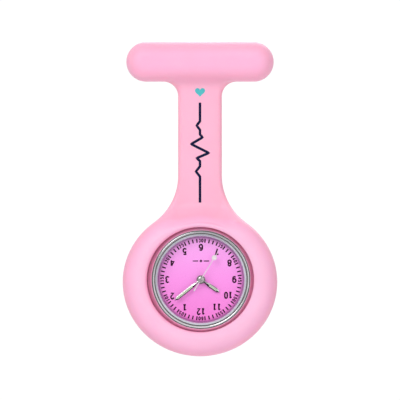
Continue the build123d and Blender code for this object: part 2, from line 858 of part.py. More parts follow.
with BuildPart() as clutch_wheel:
    with BuildSketch(STEM.offset(clutch_start)):
        Circle(clutch_radius)
        Rectangle(square_side + 0.04, square_side + 0.04, mode=Mode.SUBTRACT)
    extrude(amount=clutch_length)
    with BuildSketch(STEM.offset(yoke_pin[0] - 0.13)):
        Circle(clutch_radius + 0.1)
        Circle(clutch_groove_radius, mode=Mode.SUBTRACT)
    extrude(amount=0.26, mode=Mode.SUBTRACT)
    # face teeth towards the setting wheel
    with BuildSketch(STEM.offset(clutch_start)):
        with PolarLocations(0.62, 8):
            Rectangle(0.5, 0.2)
    extrude(amount=clutch_tooth_depth, mode=Mode.SUBTRACT)
finish(clutch_wheel, "clutch_wheel")


def setting_arm(pivot, pin, width, pin_radius, pin_low):
    """A flat arm on a pivot, with a pin that reaches down into a groove."""
    round_post([pivot], arm_hub_radius, arm_low, arm_high)
    with BuildSketch(level(arm_low)) as arm:
        with Locations((pivot[0], (pivot[1] + pin[1]) / 2)):
            SlotCenterToCenter(pivot[1] - pin[1], width, rotation=90)
    extrude(arm.sketch, amount=arm_high - arm_low)
    round_post([pin], pin_radius, pin_low, arm_low)
    round_post([pivot], post_bore, arm_low, arm_high, mode=Mode.SUBTRACT)


with BuildPart() as setting_lever:
    setting_arm(lever_pivot, lever_pin, 0.46, 0.12, -1.1)
finish(setting_lever, "setting_lever")

with BuildPart() as yoke:
    setting_arm(yoke_pivot, yoke_pin, 0.38, 0.1, -1.0)
finish(yoke, "yoke")

with BuildPart() as crown:
    with BuildSketch(STEM.offset(crown_start)):
        Circle(crown_radius)
        with PolarLocations(crown_radius, knurls):
            Circle(knurl_radius, mode=Mode.SUBTRACT)
    extrude(amount=crown_end - crown_start)
    chamfer(edges().group_by(Axis.X)[0], 0.08)
    # the hollow that slides over the tube and its seal, and the hole for the stem
    for hollow_radius, hollow_depth in ((1.15, 1.0), (thread_radius + hair_gap, 1.5)):
        with BuildSketch(STEM.offset(crown_start)):
            Circle(hollow_radius)
        extrude(amount=hollow_depth, mode=Mode.SUBTRACT)
finish(crown, "crown")

with BuildPart() as crown_gasket:
    with BuildSketch(STEM.offset(crown_start + 0.15)):
        Circle(1.12)
        Circle(tube_radius + 0.04, mode=Mode.SUBTRACT)
    extrude(amount=0.35)
finish(crown_gasket, "crown_gasket")

# ======== hands ========


def hand(angle, low, hub_radius, bore, outline, window=None, counterweight=None):
    """A bevelled hand: a hub and an outline of (distance, half width) points on one side."""
    flat = hand_plane(angle, low)
    with BuildSketch(flat) as shape:
        Circle(hub_radius)
        other_side = [(reach, -half) for reach, half in reversed(outline) if half]
        Polygon(*outline, *other_side, align=Align.NONE)
        if counterweight:
            with Locations((counterweight[0], 0)):
                Circle(counterweight[1])
    extrude(shape.sketch, amount=hand_thickness)
    chamfer(faces().sort_by(Axis.Y)[0].edges(), hand_bevel)
    with BuildSketch(flat) as openings:
        Circle(bore)
        if window:
            with Locations(((window[0] + window[1]) / 2, 0)):
                Rectangle(window[1] - window[0], 2 * window[2])
    extrude(openings.sketch, amount=hand_thickness, mode=Mode.SUBTRACT)


def lume_strip(angle, low, window):
    """The luminous filling of a hand's window."""
    with BuildSketch(hand_plane(angle, low)) as strip:
        with Locations(((window[0] + window[1]) / 2, 0)):
            Rectangle(window[1] - window[0], 2 * window[2])
    extrude(strip.sketch, amount=hand_thickness)


with BuildPart() as hour_hand:
    hand(
        hour_angle,
        hour_hand_low,
        1.15,
        hour_pipe_radius + hair_gap,
        [(0.9, 0.3), (1.9, 0.22), (2.55, 0.5), (5.2, 0.5), (6.1, 0)],
        window=hour_window,
    )
finish(hour_hand, "hour_hand")

with BuildPart() as hour_hand_lume:
    lume_strip(hour_angle, hour_hand_low, hour_window)
finish(hour_hand_lume, "hour_hand_lume")

with BuildPart() as minute_hand:
    hand(
        minute_angle,
        minute_hand_low,
        0.85,
        pipe_radius + hair_gap,
        [(0.7, 0.22), (2.0, 0.17), (2.8, 0.44), (8.15, 0.44), (9.03, 0)],
        window=minute_window,
    )
finish(minute_hand, "minute_hand")

with BuildPart() as minute_hand_lume:
    lume_strip(minute_angle, minute_hand_low, minute_window)
finish(minute_hand_lume, "minute_hand_lume")

with BuildPart() as second_hand:
    hand(
        second_angle,
        second_hand_low,
        0.8,
        arbor_radius + hair_gap,
        [(-3.6, 0.2), (-2.4, 0.12), (0, 0.14), (9.4, 0.06)],
        counterweight=(6.9, 0.7),
    )
    with BuildSketch(level(second_hand_low + hand_thickness)):
        Circle(second_cap_radius)
    extrude(amount=second_cap_height)
finish(second_hand, "second_hand")

# ======== brooch ========

with BuildPart() as pin_base_plate:
    with BuildSketch(Plane.XZ.offset(-brooch_plate_back_y)):
        RectangleRounded(brooch_plate_length, brooch_plate_height, 1.0)
    extrude(amount=brooch_plate_thickness)
    # two lugs that carry the needle's rivet
    for side_low in (-lug_high, lug_low):
        with BuildSketch(Plane.XY.offset(side_low)):
            with Locations((hinge_x, 0)):
                Circle(lug_radius)
            with Locations((hinge_x, brooch_plate_back_y / 2)):
                Rectangle(2 * lug_radius, -brooch_plate_back_y)
            with Locations((hinge_x, 0)):
                Circle(rivet_radius + hair_gap, mode=Mode.SUBTRACT)
        extrude(amount=lug_high - lug_low)
finish(pin_base_plate, "pin_base_plate")

with BuildPart() as pin_hinge_rivet:
    with BuildSketch(Plane.XY.offset(-lug_high)):
        with Locations((hinge_x, 0)):
            Circle(rivet_radius)
    extrude(amount=2 * lug_high)
    for rivet_head_low in (-lug_high - rivet_head_thickness, lug_high):
        with BuildSketch(Plane.XY.offset(rivet_head_low)):
            with Locations((hinge_x, 0)):
                Circle(rivet_head_radius)
        extrude(amount=rivet_head_thickness)
finish(pin_hinge_rivet, "pin_hinge_rivet")

NEEDLE_START = Plane(origin=(hinge_x + 0.5, 0, 0), x_dir=(0, 1, 0), z_dir=(1, 0, 0))
with BuildPart() as pin_needle:
    with BuildSketch(Plane.XY.offset(-eye_half_width)):
        with Locations((hinge_x, 0)):
            Circle(eye_radius)
    extrude(amount=2 * eye_half_width)
    with BuildSketch(NEEDLE_START):
        Circle(needle_shank_radius)
    extrude(amount=-needle_half_length - hinge_x - 0.5)
    with BuildSketch(Plane.YZ):
        Circle(needle_radius)
    extrude(amount=needle_half_length, both=True)
    with BuildSketch(Plane.XY):
        with BuildLine():
            Polyline(
                (needle_half_length, 0),
                (needle_half_length, needle_radius),
                (needle_shoulder_x, 0.28),
                (needle_tip_x, 0.04),
                (needle_tip_x, 0),
                close=True,
            )
        make_face()
    revolve(axis=Axis.X)
    with BuildSketch(Plane.XY.offset(-eye_half_width)):
        with Locations((hinge_x, 0)):
            Circle(rivet_radius + 0.03)
    extrude(amount=2 * eye_half_width, mode=Mode.SUBTRACT)
finish(pin_needle, "pin_needle")


def catch_plane(x):
    """A plane across the needle, with the way out of the catch along its x axis."""
    return Plane(origin=(x, 0, 0), x_dir=(0, 1, 0), z_dir=(1, 0, 0))


with BuildPart() as catch_body:
    with BuildSketch(catch_plane(catch_start_x)):
        Circle(catch_radius)
        with Locations(((brooch_plate_back_y - catch_bore) / 2, 0)):
            Rectangle(-brooch_plate_back_y - catch_bore, catch_stem_width)
        Circle(catch_bore, mode=Mode.SUBTRACT)
        with Locations((catch_radius, 0)):
            Rectangle(2 * catch_radius - 0.6, catch_slot, mode=Mode.SUBTRACT)
    extrude(amount=catch_length)
finish(catch_body, "catch_body")

with BuildPart() as catch_drum:
    for radius, length in ((drum_flange_radius, drum_flange_thickness), (drum_radius, drum_length)):
        with BuildSketch(catch_plane(drum_start_x)):
            Circle(radius)
        extrude(amount=length)
    with BuildSketch(catch_plane(drum_tab_x)):
        Circle(drum_tab_radius)
        with Locations((0, 1.1)):
            RectangleRounded(0.9, 2.2, 0.3)
    extrude(amount=drum_start_x + drum_length - drum_tab_x)
    # the slot that lets the needle out when it faces the opening of the catch
    with BuildSketch(catch_plane(drum_start_x)):
        Circle(catch_slot / 2)
        with Locations((1.0, 0)):
            Rectangle(2.0, catch_slot)
    extrude(amount=drum_length, mode=Mode.SUBTRACT)
finish(catch_drum, "catch_drum")
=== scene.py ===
"""The looks of the fob watch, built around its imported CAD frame."""

import json
from math import cos, hypot, pi, radians, sin

import bmesh
import bpy
import numpy as np
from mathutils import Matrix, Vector


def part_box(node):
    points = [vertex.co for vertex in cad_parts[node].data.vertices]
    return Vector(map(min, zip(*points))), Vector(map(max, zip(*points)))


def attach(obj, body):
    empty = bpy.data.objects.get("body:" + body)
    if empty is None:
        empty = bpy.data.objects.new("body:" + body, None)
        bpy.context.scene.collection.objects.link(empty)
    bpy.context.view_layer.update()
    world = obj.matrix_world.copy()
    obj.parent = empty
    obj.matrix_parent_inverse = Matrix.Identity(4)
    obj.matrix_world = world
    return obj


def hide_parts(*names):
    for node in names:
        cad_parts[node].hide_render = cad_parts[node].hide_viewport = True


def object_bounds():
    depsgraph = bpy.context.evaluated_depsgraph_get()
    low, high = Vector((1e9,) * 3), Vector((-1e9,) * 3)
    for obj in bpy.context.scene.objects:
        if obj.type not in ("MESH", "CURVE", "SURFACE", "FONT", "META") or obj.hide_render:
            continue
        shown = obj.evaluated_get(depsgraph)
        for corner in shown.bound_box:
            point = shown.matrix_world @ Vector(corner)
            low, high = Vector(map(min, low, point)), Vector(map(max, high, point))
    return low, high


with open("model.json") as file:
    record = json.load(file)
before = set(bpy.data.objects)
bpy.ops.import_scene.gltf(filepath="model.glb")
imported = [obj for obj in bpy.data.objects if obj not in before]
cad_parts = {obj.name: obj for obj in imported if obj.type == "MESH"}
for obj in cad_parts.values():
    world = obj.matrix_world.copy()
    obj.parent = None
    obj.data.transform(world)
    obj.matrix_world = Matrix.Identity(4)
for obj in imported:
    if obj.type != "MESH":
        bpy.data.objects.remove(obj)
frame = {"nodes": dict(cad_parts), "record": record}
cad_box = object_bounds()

MM = 0.001

# ---- places, in millimetres, read from the frame ----


def node_box(name):
    """A node's lowest and highest corners in millimetres."""
    low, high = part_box(name)
    return np.array(low) / MM, np.array(high) / MM


def middle(name):
    """The centre of a node's box in millimetres."""
    low, high = node_box(name)
    return (low + high) / 2


holder_low, holder_high = node_box("silicone_holder")
brooch_front_y = node_box("pin_base_plate")[0][1]
head_x, _, head_z = middle("dial")
# the hour hand lies 1 mm in front of the dial's back
dial_back_y = node_box("hour_hand")[1][1] + 1.0

# ---- sizes of the looks, in millimetres ----
back_y = holder_high[1]
bar_radius = 5.325
bar_half_width = 19.9
bar_front_y = back_y - 7.4
bar_front_round = 4.5
bar_back_round = 0.8
strap_half = 5.9
strap_front_y = back_y - 3.2
strap_dome = 0.35
strap_front_round = 1.3
strap_back_round = 0.5
bar_root_radius = 4.0
ring_root_radius = 15.7
ring_join_radius = 20.33
ring_half_width = holder_high[0]
ring_half_height = 20.03
ring_centre_z = holder_low[2] + ring_half_height
ring_front_y = back_y - 9.0
ring_front_round = 5.0
ring_back_round = 1.4
net_step = 0.27  # the spacing of the grid the silicone's surface is found on
dial_seen_radius = 11.6
bezel_edge = 13.0  # the radius where the bezel's front edge turns down its side
crown_from_head = 16.0  # how far the crown's room lies from the head's axis

# ======== materials ========

# the numbers of a colour mix node's sockets
MIX_FACTOR, MIX_FIRST, MIX_SECOND, MIX_RESULT = 0, 6, 7, 2
WHITE, BLACK = (1.0, 1.0, 1.0), (0.0, 0.0, 0.0)

def new_material(name):
    """A node material and its principled shader."""
    made = bpy.data.materials.new(name)
    made.use_nodes = True
    return made, made.node_tree.nodes["Principled BSDF"]


def add_node(made, kind, **values):
    """A shader node with these properties and input values."""
    node = made.node_tree.nodes.new(kind)
    for key, value in values.items():
        if key in node.inputs:
            node.inputs[key].default_value = value
        else:
            setattr(node, key, value)
    return node


def link(made, source, target):
    """Join an output socket to an input socket."""
    made.node_tree.links.new(source, target)


def share_between(made, source, low, high):
    """How far a value is from one number to another, from 0 to 1."""
    share = add_node(made, "ShaderNodeMapRange")
    share.inputs["From Min"].default_value = low
    share.inputs["From Max"].default_value = high
    link(made, source, share.inputs["Value"])
    return share.outputs["Result"]


def parts_of(made, vector):
    """The x, y and z of a vector."""
    parts = add_node(made, "ShaderNodeSeparateXYZ")
    link(made, vector, parts.inputs["Vector"])
    return parts.outputs


def own_coordinates(made, kind="Object"):
    """The object's own coordinates in metres, or its own normal."""
    return add_node(made, "ShaderNodeTexCoord").outputs[kind]


def multiplied(made, first, second):
    """The product of two colours."""
    mixed = add_node(made, "ShaderNodeMix", data_type="RGBA", blend_type="MULTIPLY")
    mixed.inputs[MIX_FACTOR].default_value = 1.0
    link(made, first, mixed.inputs[MIX_FIRST])
    link(made, second, mixed.inputs[MIX_SECOND])
    return mixed.outputs[MIX_RESULT]


def grain(made, scale, detail=3.0, stretch=(1, 1, 1), seed=0.0):
    """A noise over the object's own coordinates, in cells per metre."""
    mapping = add_node(made, "ShaderNodeMapping")
    mapping.inputs["Scale"].default_value = stretch
    mapping.inputs["Location"].default_value = (seed, seed, seed)
    noise = add_node(made, "ShaderNodeTexNoise")
    noise.inputs["Scale"].default_value = scale
    noise.inputs["Detail"].default_value = detail
    link(made, own_coordinates(made), mapping.inputs["Vector"])
    link(made, mapping.outputs["Vector"], noise.inputs["Vector"])
    return noise


def colour_ramp(made, source, stops):
    """A colour ramp of (position, colour) stops driven by a value."""
    ramp = add_node(made, "ShaderNodeValToRGB")
    elements = ramp.color_ramp.elements
    while len(elements) < len(stops):
        elements.new(0.5)
    for element, (position, colour) in zip(elements, stops):
        element.position = position
        element.color = (*colour, 1)
    link(made, source, ramp.inputs["Fac"])
    return ramp


def vary(made, shader, socket, source, low, high):
    """Drive a shader's value between two numbers by a texture."""
    spread = add_node(made, "ShaderNodeMapRange")
    spread.inputs["To Min"].default_value = low
    spread.inputs["To Max"].default_value = high
    link(made, source, spread.inputs["Value"])
    link(made, spread.outputs["Result"], shader.inputs[socket])


def bump(made, shader, source, strength, distance):
    """Raise a surface by a texture; the distance is in metres."""
    raised = add_node(made, "ShaderNodeBump")
    raised.inputs["Strength"].default_value = strength
    raised.inputs["Distance"].default_value = distance
    link(made, source, raised.inputs["Height"])
    link(made, raised.outputs["Normal"], shader.inputs["Normal"])


def distance_from_axis(made, centre_x, centre_z):
    """The distance of a point from an axis along Y, in metres."""
    place = add_node(made, "ShaderNodeMapping")
    place.inputs["Location"].default_value = (-centre_x * MM, 0, -centre_z * MM)
    link(made, own_coordinates(made), place.inputs["Vector"])
    flat = add_node(made, "ShaderNodeMapping")
    flat.inputs["Scale"].default_value = (1, 0, 1)
    link(made, place.outputs["Vector"], flat.inputs["Vector"])
    reach = add_node(made, "ShaderNodeVectorMath", operation="LENGTH")
    link(made, flat.outputs["Vector"], reach.inputs[0])
    return reach.outputs["Value"]


def grained(
    name,
    low_colour,
    high_colour,
    rough,
    scale,
    metallic=0.0,
    raise_by=0.0,
    stretch=(1, 1, 1),
    shine=0.5,
):
    """A material with a grain in its colour, its gloss and its surface."""
    made, shader = new_material(name)
    shader.inputs["Specular IOR Level"].default_value = shine
    noise = grain(made, scale, stretch=stretch)
    tint = colour_ramp(made, noise.outputs["Fac"], [(0.3, low_colour), (0.7, high_colour)])
    link(made, tint.outputs["Color"], shader.inputs["Base Color"])
    shader.inputs["Metallic"].default_value = metallic
    vary(made, shader, "Roughness", noise.outputs["Fac"], *rough)
    if raise_by:
        bump(made, shader, noise.outputs["Fac"], 0.5, raise_by)
    return made


def silicone_material():
    """Soft moulded silicone: satin, a little translucent, with painted shade deepening its colour
    down its sides.
    """
    made, shader = new_material("silicone_pink_painted_shade")
    depth = parts_of(made, own_coordinates(made))["Y"]
    # painted shade: the pink deepens from the front towards the back, so the sides read darker and
    # more saturated
    body = colour_ramp(
        made,
        share_between(made, depth, ring_front_y * MM, back_y * MM),
        [
            (0.0, (0.985, 0.530, 0.735)),
            (0.16, (0.985, 0.465, 0.680)),
            (0.30, (0.980, 0.440, 0.615)),
            (0.64, (0.980, 0.475, 0.640)),
            (0.80, (0.975, 0.425, 0.550)),
            (1.0, (0.975, 0.420, 0.550)),
        ],
    )
    # painted shade: the crease around the bezel is darkened and deepened in colour, standing in for
    # the shadow in the gap
    near = share_between(made, distance_from_axis(made, head_x, head_z), 15.7 * MM, 15.2 * MM)
    level = share_between(made, depth, -9.65 * MM, -7.65 * MM)
    crease_shade_band = colour_ramp(made, level, [(0.0, BLACK), (0.2, WHITE), (0.7, WHITE), (1.0, BLACK)])
    crease_shade_mask = add_node(made, "ShaderNodeMath", operation="MULTIPLY")
    link(made, near, crease_shade_mask.inputs[0])
    link(made, crease_shade_band.outputs["Color"], crease_shade_mask.inputs[1])
    crease_painted_shade = add_node(made, "ShaderNodeMix", data_type="RGBA", blend_type="MULTIPLY")
    crease_painted_shade.inputs[MIX_SECOND].default_value = (1.0, 0.56, 0.71, 1)
    link(made, crease_shade_mask.outputs["Value"], crease_painted_shade.inputs[MIX_FACTOR])
    link(made, body.outputs["Color"], crease_painted_shade.inputs[MIX_FIRST])
    broad = grain(made, 110.0, 2.0)
    cloud = colour_ramp(made, broad.outputs["Fac"], [(0.3, (0.975, 0.965, 0.970)), (0.7, WHITE)])
    clouded = multiplied(made, crease_painted_shade.outputs[MIX_RESULT], cloud.outputs["Color"])
    link(made, clouded, shader.inputs["Base Color"])
    fine = grain(made, 9000.0, 2.0, seed=3.0)
    vary(made, shader, "Roughness", fine.outputs["Fac"], 0.42, 0.56)
    bump(made, shader, fine.outputs["Fac"], 0.15, 0.00001)
    shader.inputs["Subsurface Weight"].default_value = 0.25
    shader.inputs["Subsurface Radius"].default_value = (1.0, 0.35, 0.5)
    shader.inputs["Subsurface Scale"].default_value = 0.0015
    shader.inputs["Specular IOR Level"].default_value = 0.35
    return made


def dial_material():
    """Lacquered dial: hot pink, with painted light making it lighter towards the top and a painted
    shadow darkening its rim, and a faint sunray in its gloss.
    """
    made, shader = new_material("dial_lacquer_painted_light")
    place = add_node(made, "ShaderNodeMapping")
    place.inputs["Location"].default_value = (-head_x * MM, 0, -head_z * MM)
    link(made, own_coordinates(made), place.inputs["Vector"])
    parts = parts_of(made, place.outputs["Vector"])
    # painted light: the pink grows lighter towards the top, as if lit from above
    tint = colour_ramp(
        made,
        share_between(made, parts["Z"], -dial_seen_radius * MM, dial_seen_radius * MM),
        [(0.0, (0.97, 0.215, 0.72)), (0.5, (1.0, 0.305, 0.84)), (1.0, (1.0, 0.43, 0.94))],
    )
    # painted shadow: the dial darkens towards its rim, where the flange shades it
    reach = distance_from_axis(made, head_x, head_z)
    rim_painted_shadow = colour_ramp(
        made,
        share_between(made, reach, 10.3 * MM, dial_seen_radius * MM),
        [
            (0.0, WHITE),
            (0.45, (0.86, 0.83, 0.84)),
            (0.8, (0.44, 0.40, 0.45)),
            (1.0, (0.32, 0.30, 0.38)),
        ],
    )
    dial_with_painted_light = multiplied(made, tint.outputs["Color"], rim_painted_shadow.outputs["Color"])
    link(made, dial_with_painted_light, shader.inputs["Base Color"])
    turn = add_node(made, "ShaderNodeMath", operation="ARCTAN2")
    link(made, parts["Z"], turn.inputs[0])
    link(made, parts["X"], turn.inputs[1])
    rays = add_node(made, "ShaderNodeTexNoise")
    rays.noise_dimensions = "1D"
    rays.inputs["Scale"].default_value = 60.0
    rays.inputs["Detail"].default_value = 4.0
    link(made, turn.outputs["Value"], rays.inputs["W"])
    vary(made, shader, "Roughness", rays.outputs["Fac"], 0.30, 0.42)
    bump(made, shader, rays.outputs["Fac"], 0.06, 0.00002)
    return made


def glass_material():
    """Mineral glass, nearly invisible from straight on, with a faint smudge in its gloss."""
    made, shader = new_material("crystal_glass")
    smudge = grain(made, 300.0)
    tint = colour_ramp(
        made, smudge.outputs["Fac"], [(0.3, (0.03, 0.035, 0.035)), (0.7, (0.05, 0.05, 0.05))]
    )
    link(made, tint.outputs["Color"], shader.inputs["Base Color"])
    vary(made, shader, "Roughness", smudge.outputs["Fac"], 0.01, 0.05)
    shader.inputs["Alpha"].default_value = 0.015
    return made


def streaked_metal(name, colour_of, scale, darkest, rough):
    """Polished metal: a colour made by a function, under faint streaks."""
    made, shader = new_material(name)
    colour = colour_of(made)
    streaks = grain(made, scale)
    cloud = colour_ramp(made, streaks.outputs["Fac"], [(0.3, (darkest,) * 3), (0.7, WHITE)])
    mixed = multiplied(made, colour, cloud.outputs["Color"])
    link(made, mixed, shader.inputs["Base Color"])
    shader.inputs["Metallic"].default_value = 1.0
    vary(made, shader, "Roughness", streaks.outputs["Fac"], *rough)
    return made


def hand_colour(made):
    """Painted shade and highlight: the hands' downward-facing slopes are painted dark and their
    upward-facing slopes bright, as if lit from above.
    """
    slope = parts_of(made, own_coordinates(made, "Normal"))["Z"]
    tint = colour_ramp(
        made,
        share_between(made, slope, -0.2, 0.2),
        [(0.15, (0.035, 0.03, 0.035)), (0.42, (0.30, 0.29, 0.28)), (0.85, (0.52, 0.51, 0.50))],
    )
    return tint.outputs["Color"]


def bezel_colour(made):
    """Painted reflection: the bezel is brighter down its side than on its front edge, and brighter
    towards the bottom, standing in for what the polished steel reflects.
    """
    height = parts_of(made, own_coordinates(made))["Z"]
    # painted reflection: the front edge grows brighter towards the bottom
    front = colour_ramp(
        made,
        share_between(made, height, (head_z - bezel_edge) * MM, (head_z + bezel_edge) * MM),
        [(0.0, (0.90, 0.90, 0.91)), (0.2, (0.70, 0.70, 0.72)), (1.0, (0.52, 0.52, 0.54))],
    )
    # painted reflection: the side is painted brighter than the front edge
    reach = distance_from_axis(made, head_x, head_z)
    tint = add_node(made, "ShaderNodeMix", data_type="RGBA")
    tint.inputs[MIX_SECOND].default_value = (0.83, 0.88, 0.86, 1)
    link(made, share_between(made, reach, bezel_edge * MM, 13.3 * MM), tint.inputs[MIX_FACTOR])
    link(made, front.outputs["Color"], tint.inputs[MIX_FIRST])
    return tint.outputs[MIX_RESULT]


def ringed_steel(name, centre_x, centre_z):
    """Steel turned on a lathe: fine rings around a centre."""
    made, shader = new_material(name)
    reach = distance_from_axis(made, centre_x, centre_z)
    rings = add_node(made, "ShaderNodeTexNoise")
    rings.noise_dimensions = "1D"
    rings.inputs["Scale"].default_value = 9000.0
    rings.inputs["Detail"].default_value = 3.0
    link(made, reach, rings.inputs["W"])
    tint = colour_ramp(
        made, rings.outputs["Fac"], [(0.3, (0.60, 0.60, 0.62)), (0.7, (0.74, 0.74, 0.76))]
    )
    link(made, tint.outputs["Color"], shader.inputs["Base Color"])
    shader.inputs["Metallic"].default_value = 1.0
    vary(made, shader, "Roughness", rings.outputs["Fac"], 0.22, 0.38)
    bump(made, shader, rings.outputs["Fac"], 0.12, 0.00001)
    return made


silicone = silicone_material()
dial_lacquer_painted_light = dial_material()
glass = glass_material()
chrome = grained("case_chrome", (0.80, 0.80, 0.82), (0.86, 0.86, 0.88), (0.05, 0.11), 700.0, 1.0)
bezel_chrome_painted_reflection = streaked_metal("bezel_chrome_painted_reflection", bezel_colour, 700.0, 0.94, (0.05, 0.11))
lid_steel = ringed_steel("lid_turned_steel", head_x, head_z)
brooch_steel = grained(
    "brooch_steel",
    (0.58, 0.58, 0.60),
    (0.70, 0.70, 0.72),
    (0.22, 0.36),
    900.0,
    1.0,
    0.00001,
    stretch=(0.2, 1, 1),
)
fine_steel = grained(
    "fine_steel", (0.52, 0.52, 0.54), (0.66, 0.66, 0.68), (0.2, 0.34), 1500.0, 1.0, 0.000005
)
# the hands' colour carries painted shade and highlight by slope
hand_silver = streaked_metal("hand_silver", hand_colour, 2500.0, 0.84, (0.12, 0.22))
hub_silver = grained(
    "hub_silver", (0.40, 0.39, 0.38), (0.52, 0.51, 0.50), (0.12, 0.22), 2500.0, 1.0
)
needle_silver = grained(
    "second_hand_pale", (0.80, 0.72, 0.76), (0.90, 0.84, 0.87), (0.25, 0.35), 2500.0, 0.3
)
seal = grained(
    "seal_rubber", (0.030, 0.048, 0.042), (0.05, 0.075, 0.066), (0.35, 0.5), 2500.0, 0, 0.00001
)
flange_silver = grained(
    "flange_silver", (0.80, 0.78, 0.85), (0.88, 0.86, 0.93), (0.16, 0.26), 800.0, 0.6
)
seat_white = grained("seat_lavender", (0.76, 0.74, 0.86), (0.84, 0.82, 0.92), (0.25, 0.35), 800.0)
lume = grained("lume_pale", (0.48, 0.54, 0.42), (0.54, 0.60, 0.48), (0.6, 0.75), 9000.0, 0, 0.00001)
print_plum = grained(
    "print_plum", (0.018, 0.001, 0.010), (0.030, 0.002, 0.018), (0.5, 0.65), 6000.0, shine=0.1
)
print_navy = grained(
    "print_navy", (0.003, 0.006, 0.035), (0.005, 0.010, 0.050), (0.5, 0.65), 6000.0, shine=0.1
)
print_teal = grained("print_teal", (0.05, 0.42, 0.47), (0.07, 0.50, 0.54), (0.45, 0.6), 6000.0)
brass_plate = grained(
    "plate_brass", (0.62, 0.50, 0.28), (0.72, 0.60, 0.36), (0.25, 0.4), 1200.0, 1.0, 0.00001
)
brass_wheel = grained(
    "wheel_brass", (0.66, 0.48, 0.18), (0.76, 0.58, 0.25), (0.2, 0.32), 2500.0, 1.0
)
alloy = grained(
    "stator_alloy", (0.36, 0.36, 0.37), (0.46, 0.46, 0.47), (0.3, 0.45), 1500.0, 1.0, 0.00001
)
copper = grained(
    "copper_wire",
    (0.50, 0.16, 0.05),
    (0.72, 0.28, 0.11),
    (0.25, 0.4),
    9000.0,
    1.0,
    0.00004,
    stretch=(1, 0.02, 0.02),
)
board = grained("board_green", (0.008, 0.085, 0.03), (0.013, 0.12, 0.045), (0.3, 0.45), 1800.0)
resin = grained(
    "black_resin", (0.010, 0.010, 0.010), (0.02, 0.02, 0.02), (0.4, 0.6), 5000.0, 0, 0.00001
)
white_plastic = grained(
    "white_plastic", (0.74, 0.74, 0.72), (0.80, 0.80, 0.78), (0.4, 0.55), 1500.0
)
wheel_plastic = grained(
    "wheel_plastic", (0.80, 0.74, 0.58), (0.86, 0.80, 0.66), (0.3, 0.45), 2500.0
)
magnet = grained("magnet_grey", (0.08, 0.08, 0.085), (0.12, 0.12, 0.125), (0.35, 0.5), 4000.0, 0.7)
can_steel = grained("battery_can", (0.64, 0.64, 0.64), (0.74, 0.74, 0.74), (0.2, 0.32), 900.0, 1.0)

by_slot = {
    "brooch_steel": brooch_steel,
    "case_chrome": chrome,
    "back_steel": lid_steel,
    "crystal_glass": glass,
    "dark_seal": seal,
    "silver_flange": flange_silver,
    "dial_pink": dial_lacquer_painted_light,
    "steel_parts": fine_steel,
    "stator_alloy": alloy,
    "plate_brass": brass_plate,
    "brass_wheel": brass_wheel,
    "wheel_plastic": wheel_plastic,
    "white_plastic": white_plastic,
    "copper_wire": copper,
    "board_green": board,
    "black_resin": resin,
    "battery_can": can_steel,
    "magnet_grey": magnet,
    "hand_silver": hand_silver,
    "lume_pale": lume,
    "pink_silicone": silicone,
}
for part in frame["record"]["subparts"]:
    for slot in frame["nodes"][part["node"]].material_slots:
        slot.material = by_slot[part["material_slot"]]
for slot in frame["nodes"]["second_hand"].material_slots:
    slot.material = needle_silver

# ======== mesh helpers ========


def new_piece(name, points, faces, material, body, smooth=True):
    """A piece from points in millimetres; it rides on a body and takes the given material."""
    mesh = bpy.data.meshes.new(name)
    mesh.from_pydata((np.asarray(points, dtype=float) * MM).tolist(), [], faces)
    mesh.materials.append(material)
    mesh.update()
    if smooth:
        mesh.shade_smooth()
    piece = bpy.data.objects.new(name, mesh)
    bpy.context.scene.collection.objects.link(piece)
    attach(piece, body)
    return piece


def head_point(u, v, height):
    """A point of the dial's frame (u to 3 o'clock, v to 12 o'clock) in the row's frame."""
    return (head_x - u, dial_back_y - height, head_z - v)


def rounded_profile(corners, steps=4):
    """Points of a profile whose (radius, height, rounding) corners become small arcs."""
    points = []
    count = len(corners)
    for i, (r, h, rounding) in enumerate(corners):
        here = np.array((r, h), dtype=float)
        if rounding == 0:
            points.append(here)
            continue
        before = np.array(corners[i - 1][:2]) - here
        after = np.array(corners[(i + 1) % count][:2]) - here
        start = here + before / np.linalg.norm(before) * rounding
        end = here + after / np.linalg.norm(after) * rounding
        for t in np.linspace(0, 1, steps + 1):
            points.append((1 - t) ** 2 * start + 2 * t * (1 - t) * here + t**2 * end)
    return points


def around(segments, rows, strips):
    """The faces between the copies of a profile that stand around an axis."""
    faces = []
    for i in range(segments):
        j = (i + 1) % segments
        for k in range(strips):
            m = (k + 1) % rows
            faces.append((i * rows + k, i * rows + m, j * rows + m, j * rows + k))
    return faces


def gathered(lots):
    """The points and faces of several (points, faces) lots as one."""
    points, faces = [], []
    for lot_points, lot_faces in lots:
        start = len(points)
        points += list(lot_points)
        faces += [tuple(start + i for i in face) for face in lot_faces]
    return points, faces


def plate_faces(count):
    """The faces of a flat solid: its two outlines, one after the other, and its edge."""
    faces = [tuple(range(count))[::-1], tuple(range(count, 2 * count))]
    faces += [(i, (i + 1) % count, count + (i + 1) % count, count + i) for i in range(count)]
    return faces


def turned_piece(name, corners, material, slot, *nodes, body="holder", closed=True, segments=288):
    """A piece turned about the head's axis from (radius, height, rounding) corners."""
    profile = rounded_profile(corners)
    rows = len(profile)
    points = []
    for i in range(segments):
        a = 2 * pi * i / segments
        points += [head_point(r * sin(a), r * cos(a), h) for r, h in profile]
    faces = around(segments, rows, rows if closed else rows - 1)
    piece = new_piece(name, points, faces, material, body)
    clean(piece, 0.002)
    soften(piece)
    if nodes:
        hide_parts(*nodes)
    return piece


def clean(piece, gap=0.0):
    """Join points closer than this and turn every face outwards."""
    tidy = bmesh.new()
    tidy.from_mesh(piece.data)
    if gap:
        bmesh.ops.remove_doubles(tidy, verts=tidy.verts, dist=gap * MM)
        bmesh.ops.dissolve_degenerate(tidy, edges=tidy.edges, dist=gap / 2 * MM)
    bmesh.ops.recalc_face_normals(tidy, faces=tidy.faces)
    tidy.to_mesh(piece.data)
    tidy.free()


